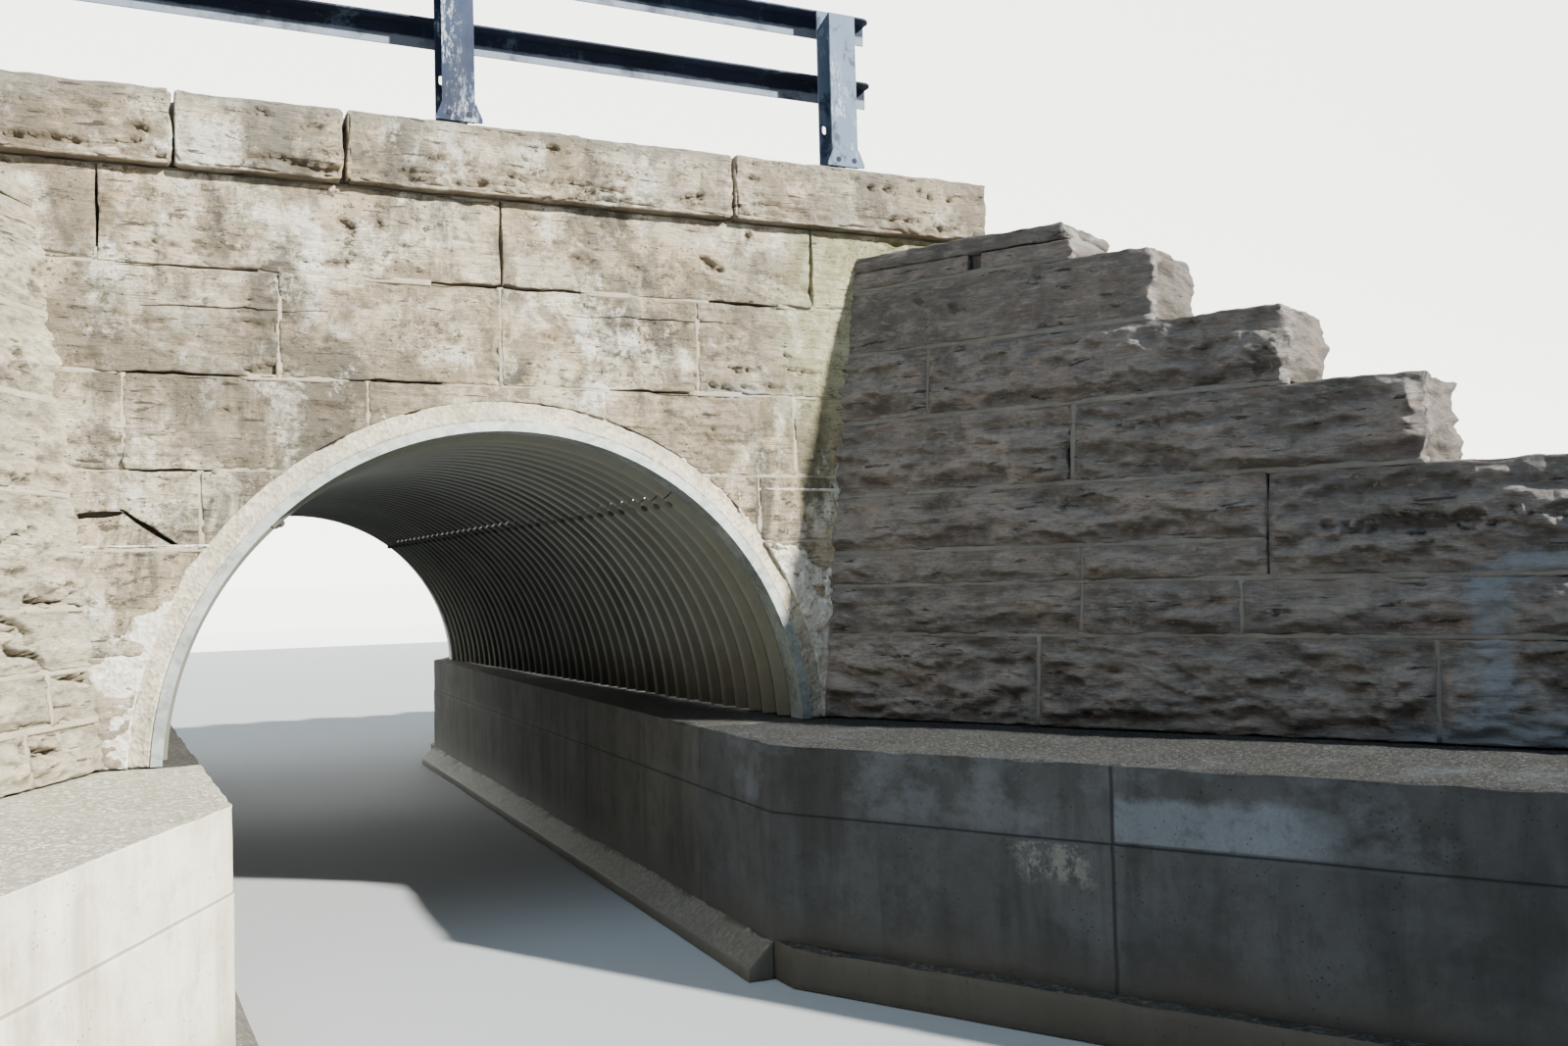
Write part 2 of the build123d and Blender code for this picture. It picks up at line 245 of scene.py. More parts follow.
def sawn_face(q, e, s, amount=1.0, rel=0.5):
    """Dressed, weathered face: nearly flat, thin beds, flaked patches and a few pits."""
    lay = (q[:, 1] + 0.008 * noise(q * np.array([1.3, 3, 1.3]), s + 1)) / 0.021
    li = np.floor(lay).astype(np.int64)
    lf = lay - li
    seg = np.floor(q[:, 0] / 0.31 + 0.7 * noise(q * 3, s + 11)).astype(np.int64)
    lh = (_hash(li, seg, li * 0 + s, 5) & 255) / 255.0
    groove = np.exp(-((lf - 0.5) / 0.22) ** 2) * (lh > 0.55)
    wide = fbm(q * np.array([1.4, 2.6, 1.4]), 3, s + 2)
    w = q + 0.02 * np.stack([noise(q * 9, s + 14), noise(q * 9, s + 15), noise(q * 9, s + 16)], 1)
    flakes = terrace(fbm(w * np.array([3.0, 8.0, 3.0]), 4, s + 3), 4, 0.42, 0.58)
    fine = terrace(fbm(w * np.array([9.0, 26.0, 9.0]), 3, s + 13), 3, 0.40, 0.60)
    patch = sstep(0.0, 0.25, noise(q * np.array([1.8, 3.0, 1.8]), s + 4))
    p1, pa = cells(w * np.array([22.0, 40.0, 12.0]), s + 5)
    spot = sstep(-0.05, 0.35, noise(q * 2.1, s + 6))
    pits = (pa < 0.10 + 0.3 * spot) * sstep(0.42, 0.16, p1)
    d = 0.0060 * wide + 0.0210 * flakes * (0.20 + 0.80 * patch) - 0.0090 * pits - 0.0036 * groove
    d += 0.0100 * fine * (0.30 + 0.70 * patch)
    d += 0.0018 * fbm(q * np.array([22, 55, 22]), 2, s + 8)
    return amount * d


def coping_face(q, e, s, amount=1.0, rel=0.5):
    """Like the wall's face, broken into ledges along its lower third."""
    d = sawn_face(q, e, s, 1.0)
    low = sstep(0.45, 0.10, rel + 0.14 * noise(q * np.array([4, 2, 4]), s + 20))
    w = q + 0.03 * np.stack([noise(q * 8, s + 24), noise(q * 8, s + 25), noise(q * 8, s + 26)], 1)
    led = terrace(fbm(w * np.array([4.5, 20.0, 4.0]), 3, s + 21), 4, 0.40, 0.60)
    d += low * (0.032 * led - 0.012)
    d += 0.010 * fbm(q * np.array([1.1, 2.0, 1.1]), 2, s + 22)
    return amount * d


def mortar_face(q, e, s, amount=1.0, rel=0.5):
    f1, ra = cells(q * 24.0, s + 1)
    g1, rc = cells(q * 50.0, s + 2)
    peb = np.sqrt(np.clip(1 - (f1 / 0.52) ** 2, 0, 1)) * (ra > 0.55)
    peb2 = np.sqrt(np.clip(1 - (g1 / 0.5) ** 2, 0, 1)) * (rc > 0.4)
    return amount * (0.012 * fbm(q * np.array([4, 6, 4]), 3, s + 3) + 0.0055 * peb + 0.003 * peb2 - 0.004)


def smooth_face(q, e, s, amount=1.0, rel=0.5):
    return amount * (0.0032 * fbm(q * np.array([2.2, 3.5, 2.2]), 3, s)
                     + 0.0008 * fbm(q * 30, 2, s + 3))


# ------------------------------------------------------------ block lattice
def graded(length, step, r):
    n = max(1, int(round((length - 2 * r) / step)))
    mid = np.linspace(r, length - r, n + 1)
    ks = np.array([0, 0.3, 0.65]) * r if r > 0.012 else np.array([0, 0.42]) * r
    return np.concatenate([ks, mid, length - ks[::-1]])


def lattice(us, vs, ws, cap=True, k0=None, i0=None):
    """Surface of a box on a lattice of lines: points, quads and the faces with more corners.
    From depth line k0 on, the bed, the near end and the top up to line i0 are left in long strips."""
    nu, nv, nw = len(us), len(vs), len(ws)
    surf = np.zeros((nu, nv, nw), bool)
    surf[0] = surf[-1] = True
    surf[:, 0] = surf[:, -1] = True
    surf[:, :, 0] = surf[:, :, -1] = True
    if cap:
        surf[1:-1, 1:-1, -1] = False
    if k0 is not None:
        surf[0, :, k0 + 1:-1] = False
        surf[:-1, 0, k0 + 1:-1] = False
        surf[:i0, -1, k0 + 1:-1] = False
    idx = np.full(surf.shape, -1, np.int64)
    idx[surf] = np.arange(surf.sum())
    i, j, k = np.nonzero(surf)
    pts = np.stack([us[i], vs[j], ws[k]], 1)
    quads = []
    more = []

    def q(a, b, c, d):
        quads.append(np.stack([a.ravel(), b.ravel(), c.ravel(), d.ravel()], 1))

    f = idx[:, :, 0]; q(f[:-1, :-1], f[:-1, 1:], f[1:, 1:], f[1:, :-1])
    f = idx[-1]; q(f[:-1, :-1], f[1:, :-1], f[1:, 1:], f[:-1, 1:])
    if k0 is None:
        f = idx[0]; q(f[:-1, :-1], f[:-1, 1:], f[1:, 1:], f[1:, :-1])
        f = idx[:, 0]; q(f[:-1, :-1], f[1:, :-1], f[1:, 1:], f[:-1, 1:])
        f = idx[:, -1]; q(f[:-1, :-1], f[:-1, 1:], f[1:, 1:], f[1:, :-1])
    else:
        keep = list(range(k0 + 1)) + [nw - 1]
        f = idx[0][:, keep]; q(f[:-1, :-1], f[:-1, 1:], f[1:, 1:], f[1:, :-1])
        f = idx[:-1, 0][:, keep]; q(f[:-1, :-1], f[1:, :-1], f[1:, 1:], f[:-1, 1:])
        f = idx[-2:, 0][:, :k0 + 1]; q(f[:-1, :-1], f[1:, :-1], f[1:, 1:], f[:-1, 1:])
        f = idx[:, 0]
        more.append(np.concatenate([[f[-2, k0]], f[-1, k0:], [f[-2, -1]]]))
        f = idx[:i0, -1][:, keep]; q(f[:-1, :-1], f[:-1, 1:], f[1:, 1:], f[1:, :-1])
        f = idx[i0 - 1:i0 + 1, -1][:, :k0 + 1]; q(f[:-1, :-1], f[:-1, 1:], f[1:, 1:], f[1:, :-1])
        f = idx[:, -1]
        more.append(np.concatenate([[f[i0 - 1, k0], f[i0 - 1, -1]], f[i0, k0:][::-1]]))
        f = idx[i0:, -1]; q(f[:-1, :-1], f[:-1, 1:], f[1:, 1:], f[1:, :-1])
    f = idx[:, :, -1]
    if cap:
        more.append(np.concatenate([f[:-1, 0], f[-1, :-1], f[::-1, -1][:-1], f[0, ::-1][:-1]]))
    else:
        q(f[:-1, :-1], f[1:, :-1], f[1:, 1:], f[:-1, 1:])
    return pts, np.concatenate(quads), more


class Pile:
    """Closed blocks gathered into one mesh, in the wall's own coordinates."""

    def __init__(self, name, lo=-0.004, hi=0.012):
        self.name = name
        self.lo, self.hi = lo, hi
        self.pts, self.quads, self.backs, self.tone, self.low = [], [], [], [], []
        self.n = 0

    def add(self, pts, quads, more, tone, open_side=None):
        self.pts.append(pts)
        self.quads.append(quads + self.n)
        for b in more:
            self.backs.append(b + self.n)
        self.tone.append(np.tile(tone, (len(pts), 1)))
        # low is 0 on the face and 1 where the surface lies deeper behind it: the stone materials use it for painted
        # shade in recesses and a painted highlight on proud parts; seen sides of end stones are held near the face
        # value
        low = np.clip((pts[:, 2] - self.lo) / (self.hi - self.lo), 0, 1)
        if open_side is not None:
            low[open_side] = np.minimum(low[open_side], 0.30)
        self.low.append(low)
        self.n += len(pts)

    def block(self, u0, u1, v0, v1, depth, step, r, face, seed, w0=0.0, gap=0.0025,
              cap=True, amount=1.0, side=0.0022, chip=0.010, ws=None, hook=None, end=0.0, top_from=None):
        u0, u1, v0, v1 = u0 + gap, u1 - gap, v0 + gap, v1 - gap
        lu, lv = u1 - u0, v1 - v0
        us, vs = graded(lu, step, r), graded(lv, step, r)
        if ws is None and end:
            ws = np.array([0, r * .42, r, .028, .05, .08, .12, .16, .21, .27, .33, .40, .47, .54,
                           depth - r, depth - r * .42, depth])
        elif ws is None:
            ws = np.array([0, r * .42, r, .030, depth])
        if top_from is not None:
            i0 = int(np.clip(np.searchsorted(us, top_from - u0), 1, len(us) - 2))
            p, quads, more = lattice(us, vs, ws, cap, 3, i0)
        else:
            p, quads, more = lattice(us, vs, ws, cap)
        hi = np.array([lu - r, lv - r, depth - r if end else depth])
        q = np.clip(p, r, hi)
        dv = p - q
        n = np.sqrt((dv ** 2).sum(1))
        dirn = dv / np.maximum(n, 1e-9)[:, None]
        wall = p + np.array([u0, v0, w0])
        arris = np.clip((1 - np.abs(dirn).max(1)) / 0.29, 0, 1)
        knock = sstep(0.02, 0.55, noise(wall * 7.5, seed + 50)) * chip \
            + sstep(0.0, 0.5, noise(wall * 21, seed + 51)) * chip * 0.35
        out = q + dirn * (r - knock * arris)[:, None]
        e = np.minimum(np.minimum(p[:, 0], lu - p[:, 0]), np.minimum(p[:, 1], lv - p[:, 1]))
        front = np.clip(-dirn[:, 2], 0, 1)
        d = np.zeros(len(p))
        m = front > 0.05
        rel = p[:, 1] / lv
        d[m] = face(wall[m], e[m], seed, amount, rel[m]) * front[m] ** 1.5
        if hook is not None:
            d[m] += hook(wall[m]) * front[m] ** 1.5
        shallow = 1.0 if end else 1 - sstep(depth - 0.10, depth - 0.02, p[:, 2])
        d += (1 - front) * side * fbm(wall * 9, 2, seed + 60) * shallow
        out += dirn * d[:, None]
        if end:
            # the far end and the top are broken too: everything near them is pulled in
            m = p[:, 0] > lu - 0.14
            t = np.stack([wall[m, 2], wall[m, 1], np.full(m.sum(), u0 + lu)], 1)
            pull = rock_face(t, 1.0, seed + 70, end, rel[m]) - 0.024 * end
            out[m, 0] += pull * sstep(lu - 0.14, lu - r, p[m, 0])
            m = p[:, 1] > lv - 0.06
            t = np.stack([wall[m, 0], wall[m, 2], np.full(m.sum(), v0 + lv)], 1)
            pull = end * (0.012 * terrace(fbm(t * 4.0, 3, seed + 71), 3) + 0.006 * fbm(t * 15, 2, seed + 72) - 0.008)
            out[m, 1] += pull * sstep(lv - 0.06, lv - r, p[m, 1])
        out += np.array([u0, v0, w0])
        seen = None
        if end:
            seen = (dirn[:, 0] > 0.3) | (dirn[:, 1] > 0.3) | ((dirn[:, 2] > 0.3) & (not cap))
            if not cap:
                seen |= dirn[:, 0] < -0.3
        self.add(out, quads, more, np.random.RandomState(seed * 7 + 3).rand(3), seen)

    def strip(self, a, b, half, w0, seed, depth=0.045, step=0.034, amp=0.006):
        """Mortar of one joint, from a to b on the face."""
        a, b = np.array(a, float), np.array(b, float)
        length = np.hypot(*(b - a))
        t = (b - a) / length
        nrm = np.array([-t[1], t[0]])
        us = np.linspace(0, length, max(2, int(length / (step * K)) + 1))
        vs = np.array([-half, -half * 0.4, half * 0.4, half])
        p, quads, back = lattice(us, vs, np.array([0, depth]), True)
        wall = np.stack([a[0] + t[0] * p[:, 0] + nrm[0] * p[:, 1], a[1] + t[1] * p[:, 0] + nrm[1] * p[:, 1],
                         p[:, 2]], 1)
        d = amp * fbm(wall * np.array([9, 9, 1]), 3, seed) + 0.0015 * fbm(wall * 40, 2, seed + 3)
        wall[:, 2] = np.where(p[:, 2] < 0.01, w0 - d, w0 + depth)
        self.add(wall, quads, back, np.random.RandomState(seed).rand(3))

    def mesh(self, place, flip):
        """place maps wall coordinates to the frame; flip says that it turns faces inside out."""
        loc = np.concatenate(self.pts)
        quads = np.concatenate(self.quads)
        backs = self.backs
        if flip:
            quads = quads[:, ::-1]
            backs = [b[::-1] for b in backs]
        pts = place(loc)
        me = bpy.data.meshes.new(self.name)
        me.vertices.add(len(pts))
        me.vertices.foreach_set("co", pts.astype(np.float32).ravel())
        loops = np.concatenate([quads.ravel()] + list(backs)) if backs else quads.ravel()
        total = np.concatenate([np.full(len(quads), 4)] + [[len(b)] for b in backs]).astype(np.int32)
        start = np.concatenate([[0], np.cumsum(total)[:-1]]).astype(np.int32)
        me.loops.add(len(loops))
        me.loops.foreach_set("vertex_index", loops.astype(np.int32))
        me.polygons.add(len(total))
        me.polygons.foreach_set("loop_start", start)
        me.polygons.foreach_set("loop_total", total)
        me.polygons.foreach_set("use_smooth", total == 4)
        me.update(calc_edges=True)
        me.validate()
        paint(me, np.concatenate(self.tone), np.concatenate(self.low))
        return me


def paint(me, tone, low):
    col = np.ones((len(me.vertices), 4), np.float32)
    col[:, :3] = tone
    # blue channel: the depth mask for painted shade in recesses
    col[:, 2] = low
    at = me.color_attributes.new("stone", "FLOAT_COLOR", "POINT")
    at.data.foreach_set("color", col.ravel())


def put(me, name, material, slot, *nodes):
    o = bpy.data.objects.new(name, me)
    bpy.context.scene.collection.objects.link(o)
    if not me.materials:
        me.materials.append(material)
    else:
        me.materials[0] = material
    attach(o, "root")
    if nodes:
        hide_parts(*nodes)
    return o


def smooth(me):
    """Smooth shading, except on the big flat faces of the hidden sides."""
    n = len(me.polygons)
    area, total = np.zeros(n, np.float32), np.zeros(n, np.int32)
    me.polygons.foreach_get("area", area)
    me.polygons.foreach_get("loop_total", total)
    me.polygons.foreach_set("use_smooth", (area < 0.004) & (total <= 6))


# --------------------------------------------------------------- materials
class Mat:
    def __init__(self, name, rough=0.9, metal=0.0, spec=0.3):
        self.m = bpy.data.materials.new(name)
        self.m.use_nodes = True
        self.t = self.m.node_tree
        self.t.nodes.clear()
        self.out = self.t.nodes.new("ShaderNodeOutputMaterial")
        self.b = self.t.nodes.new("ShaderNodeBsdfPrincipled")
        self.t.links.new(self.b.outputs[0], self.out.inputs[0])
        self.b.inputs["Roughness"].default_value = rough
        self.b.inputs["Metallic"].default_value = metal
        self.b.inputs["Specular IOR Level"].default_value = spec
        self.co = self.t.nodes.new("ShaderNodeTexCoord").outputs["Object"]
        self.geo = self.t.nodes.new("ShaderNodeNewGeometry")

    def link(self, a, b):
        if hasattr(a, "is_output"):
            self.t.links.new(a, b)
        else:
            b.default_value = a

    def scaled(self, s, off=(0, 0, 0), rot=(0, 0, 0)):
        n = self.t.nodes.new("ShaderNodeMapping")
        self.t.links.new(self.co, n.inputs["Vector"])
        n.inputs["Scale"].default_value = s
        n.inputs["Location"].default_value = off
        n.inputs["Rotation"].default_value = rot
        return n.outputs[0]

    def noise(self, scale, detail=4, rough=0.55, stretch=(1, 1, 1), off=(0, 0, 0), dist=0.0,
              rot=(0, 0, 0)):
        n = self.t.nodes.new("ShaderNodeTexNoise")
        self.t.links.new(self.scaled(stretch, off, rot), n.inputs["Vector"])
        n.inputs["Scale"].default_value = scale
        n.inputs["Detail"].default_value = detail
        n.inputs["Roughness"].default_value = rough
        n.inputs["Distortion"].default_value = dist
        return n.outputs["Fac"]

    def voro(self, scale, feature="F1", stretch=(1, 1, 1), off=(0, 0, 0), out="Distance", rand=1.0):
        n = self.t.nodes.new("ShaderNodeTexVoronoi")
        n.feature = feature
        self.t.links.new(self.scaled(stretch, off), n.inputs["Vector"])
        n.inputs["Scale"].default_value = scale
        n.inputs["Randomness"].default_value = rand
        return n.outputs[out]

    def ramp(self, fac, *stops):
        n = self.t.nodes.new("ShaderNodeValToRGB")
        self.link(fac, n.inputs[0])
        e = n.color_ramp.elements
        while len(e) < len(stops):
            e.new(0.5)
        for k, (pos, c) in enumerate(stops):
            e[k].position = pos
            c = (c, c, c) if isinstance(c, (int, float)) else c
            e[k].color = (*c, 1)
        return n.outputs[0]

    def rng(self, fac, a, b, c=0.0, d=1.0, smooth=False):
        n = self.t.nodes.new("ShaderNodeMapRange")
        if smooth:
            n.interpolation_type = "SMOOTHSTEP"
        self.link(fac, n.inputs[0])
        for k, x in enumerate((a, b, c, d)):
            n.inputs[k + 1].default_value = x
        return n.outputs[0]

    def math(self, op, a, b=0.0, clamp=False):
        n = self.t.nodes.new("ShaderNodeMath")
        n.operation = op
        n.use_clamp = clamp
        self.link(a, n.inputs[0])
        self.link(b, n.inputs[1])
        return n.outputs[0]

    def mul(self, *a):
        out = a[0]
        for b in a[1:]:
            out = self.math("MULTIPLY", out, b)
        return out

    def inv(self, a):
        return self.math("SUBTRACT", 1.0, a)

    def mix(self, fac, a, b, blend="MIX"):
        n = self.t.nodes.new("ShaderNodeMix")
        n.data_type = "RGBA"
        n.blend_type = blend
        n.clamp_factor = True
        self.link(fac, n.inputs[0])
        for k, x in ((6, a), (7, b)):
            if isinstance(x, tuple) and len(x) == 3:
                x = (*x, 1)
            self.link(x, n.inputs[k])
        return n.outputs[2]

    def attr(self, name="stone"):
        n = self.t.nodes.new("ShaderNodeAttribute")
        n.attribute_name = name
        s = self.t.nodes.new("ShaderNodeSeparateColor")
        self.t.links.new(n.outputs["Color"], s.inputs[0])
        return s.outputs[0], s.outputs[1], s.outputs[2]

    def xyz(self, vec=None):
        s = self.t.nodes.new("ShaderNodeSeparateXYZ")
        self.t.links.new(vec if vec is not None else self.co, s.inputs[0])
        return s.outputs[0], s.outputs[1], s.outputs[2]

    def normal(self):
        return self.xyz(self.geo.outputs["Normal"])

    def bump(self, height, dist, strength=1.0, chain=None):
        n = self.t.nodes.new("ShaderNodeBump")
        n.inputs["Strength"].default_value = strength
        n.inputs["Distance"].default_value = dist
        self.link(height, n.inputs["Height"])
        if chain is not None:
            self.t.links.new(chain, n.inputs["Normal"])
        return n.outputs[0]

    def blob(self, cx, cz, rx, rz, soft=0.5, wob=0.35, off=(1, 1, 1)):
        """1 inside an uneven patch of the wall at x, z."""
        x, y, z = self.xyz()
        dx = self.math("DIVIDE", self.math("SUBTRACT", x, cx), rx)
        dz = self.math("DIVIDE", self.math("SUBTRACT", z, cz), rz)
        r = self.math("SQRT", self.math("ADD", self.mul(dx, dx), self.mul(dz, dz)))
        n = self.noise(3.2, 5, 0.65, off=off)
        r = self.math("ADD", r, self.mul(self.math("SUBTRACT", n, 0.5), wob * 4))
        return self.rng(r, 1.0 - soft, 1.0 + soft * 0.3, 1.0, 0.0, True)

    def done(self, color=None, rough=None, normal=None, metal=None):
        if color is not None:
            self.link(color, self.b.inputs["Base Color"])
        if rough is not None:
            self.link(rough, self.b.inputs["Roughness"])
        if metal is not None:
            self.link(metal, self.b.inputs["Metallic"])
        if normal is not None:
            self.t.links.new(normal, self.b.inputs["Normal"])
        return self.m


def dressed_stone(name, coping=False):
    m = Mat(name, rough=0.92, spec=0.25)
    tr, tg, low = m.attr()
    x, y, z = m.xyz()
    big = m.noise(1.3, 4, 0.6)
    mid = m.noise(6.0, 5, 0.6, (1, 1, 1.6), (3, 1, 7))
    beds = m.noise(9.0, 4, 0.65, (0.55, 0.55, 9.0), (1, 2, 3), 0.3)
    thin = m.noise(26.0, 3, 0.6, (0.35, 0.35, 7.0), (5, 2, 9), 0.15)
    base = m.ramp(big, (0.32, (0.52, 0.455, 0.335)), (0.48, (0.69, 0.63, 0.50)), (0.64, (0.80, 0.775, 0.68)))
    base = m.mix(m.mul(m.rng(mid, 0.46, 0.66), 0.7), base, (0.50, 0.40, 0.28))
    base = m.mix(m.mul(m.rng(beds, 0.50, 0.70), 0.72 if coping else 0.55), base, (0.31, 0.245, 0.17))
    base = m.mix(m.mul(m.rng(thin, 0.54, 0.68), 0.70 if coping else 0.45), base, (0.19, 0.155, 0.11))
    base = m.mix(1.0, base, m.mix(tr, (0.90, 0.89, 0.88), (1.12, 1.08, 1.03)), "MULTIPLY")
    base = m.mix(m.mul(m.rng(tg, 0.4, 1.0), 0.45), base, (0.50, 0.385, 0.25))
    # bleached patches, brown stains, soot and lichen in runs from the top
    rust = m.mul(m.rng(m.noise(1.9, 6, 0.66, (1, 1, 1.4), (7, 7, 7), 0.4), 0.50, 0.60), 0.60)
    base = m.mix(rust, base, (0.46, 0.33, 0.20))
    stain = m.mul(m.rng(m.noise(4.0, 9, 0.74, (1, 1, 0.8), (9, 1, 6), 0.6), 0.49, 0.57), 0.75)
    base = m.mix(stain, base, (0.21, 0.163, 0.11))
    run = m.noise(3.0, 7, 0.68, (1.0, 1.0, 0.24), (11, 0, 4), 0.5)
    blot = m.noise(2.6, 7, 0.70, (1, 1, 1), (0, 5, 2))
    soot = m.mul(m.rng(run, 0.46, 0.56), m.rng(blot, 0.42, 0.54))
    base = m.mix(m.mul(soot, 0.90), base, (0.085, 0.078, 0.066))
    grey = m.rng(m.noise(8.0, 9, 0.80, (1, 1, 1.2), (2, 9, 4)), 0.52, 0.58)
    base = m.mix(m.mul(grey, 0.68), base, (0.19, 0.165, 0.13))
    lime = m.rng(m.noise(3.4, 8, 0.76, (1, 1, 0.7), (8, 3, 1)), 0.53, 0.61)
    base = m.mix(m.mul(lime, 0.80), base, (0.84, 0.82, 0.74))
    fleck = m.rng(m.noise(17, 7, 0.80, (0.8, 0.8, 1.5), (1, 7, 7), 0.4), 0.545, 0.585)
    base = m.mix(m.mul(fleck, m.rng(blot, 0.36, 0.52), 0.88), base, (0.062, 0.050, 0.036))
    dusk = m.mul(m.rng(m.noise(1.15, 7, 0.66, (1, 1, 0.8), (3, 12, 5), 0.5), 0.50, 0.56), 0.58)
    base = m.mix(dusk, base, (0.145, 0.118, 0.085))
    if not coping:
        # damp green growth in the corner at the right and grey render above the arch's shoulder
        moss = m.mul(m.rng(m.math("ADD", x, m.mul(run, 0.35)), 1.38, 1.58), m.rng(z, 1.7, 2.6))
        base = m.mix(m.mul(moss, 0.55), base, (0.33, 0.34, 0.16))
        base = m.mix(m.mul(m.blob(1.02, 2.315, 0.17, 0.035, 0.5, 0.30, (5, 5, 5)), 0.8), base, (0.34, 0.36, 0.38))
        foot = m.rng(m.math("ADD", z, m.mul(blot, 0.5)), 1.15, 1.75, 1.0, 0.0)
        base = m.mix(m.mul(foot, 0.45), base, (0.24, 0.21, 0.17))
    else:
        top = m.rng(m.math("ADD", z, m.mul(m.math("SUBTRACT", blot, 0.5), 0.14)), 3.27, 3.35)
        base = m.mix(m.mul(top, 0.75), base, (0.21, 0.195, 0.175))
        drip = m.rng(m.noise(5.5, 4, 0.6, (1.0, 1.0, 0.12), (4, 0, 9), 0.3), 0.52, 0.66)
        base = m.mix(m.mul(drip, 0.45), base, (0.22, 0.20, 0.175))
        right = m.mul(m.rng(x, 0.6, 2.2), m.rng(blot, 0.3, 0.6))
        base = m.mix(m.mul(right, 0.6), base, (0.24, 0.205, 0.165))
    spots = m.mul(m.rng(m.voro(38, stretch=(1, 1, 1.3)), 0.10, 0.24, 1, 0),
                  m.rng(m.noise(5, 3, 0.5, off=(2, 9, 1)), 0.50, 0.62))
    base = m.mix(m.mul(spots, 0.85), base, (0.06, 0.05, 0.038))
    fiss = m.rng(m.noise(13.0, 5, 0.62, (0.42, 0.42, 3.6), (4, 4, 4), 0.35), 0.635, 0.665)
    base = m.mix(m.mul(fiss, 0.9), base, (0.045, 0.036, 0.027))
    # painted shade: points lying deeper behind the face are darker
    base = m.mix(m.mul(m.rng(low, 0.45, 1.0), 0.62), base, (0.17, 0.13, 0.085))
    nx, ny, nz = m.normal()
    base = m.mix(m.mul(m.rng(nz, 0.5, 0.95), 0.45), base, (0.22, 0.20, 0.165))
    # painted shade: faces turned downward are darker
    base = m.mix(m.mul(m.rng(nz, -0.25, -0.8), 0.45), base, (0.15, 0.12, 0.085))
    grain = m.noise(210, 3, 0.7)
    base = m.mix(m.mul(m.rng(grain, 0.3, 0.75), 0.20), base, (0.24, 0.20, 0.15))
    nrm = m.bump(m.inv(beds), 0.010, 0.8)
    nrm = m.bump(m.inv(thin), 0.006, 0.9, nrm)
    nrm = m.bump(m.noise(26, 8, 0.80, (0.7, 0.7, 1.7), (6, 6, 6)), 0.026, 0.9, nrm)
    nrm = m.bump(m.inv(fiss), 0.007, 0.8, nrm)
    nrm = m.bump(m.inv(spots), 0.006, 0.8, nrm)
    nrm = m.bump(grain, 0.0016, 0.5, nrm)
    return m.done(base, m.rng(mid, 0.2, 0.8, 0.84, 0.97), nrm)


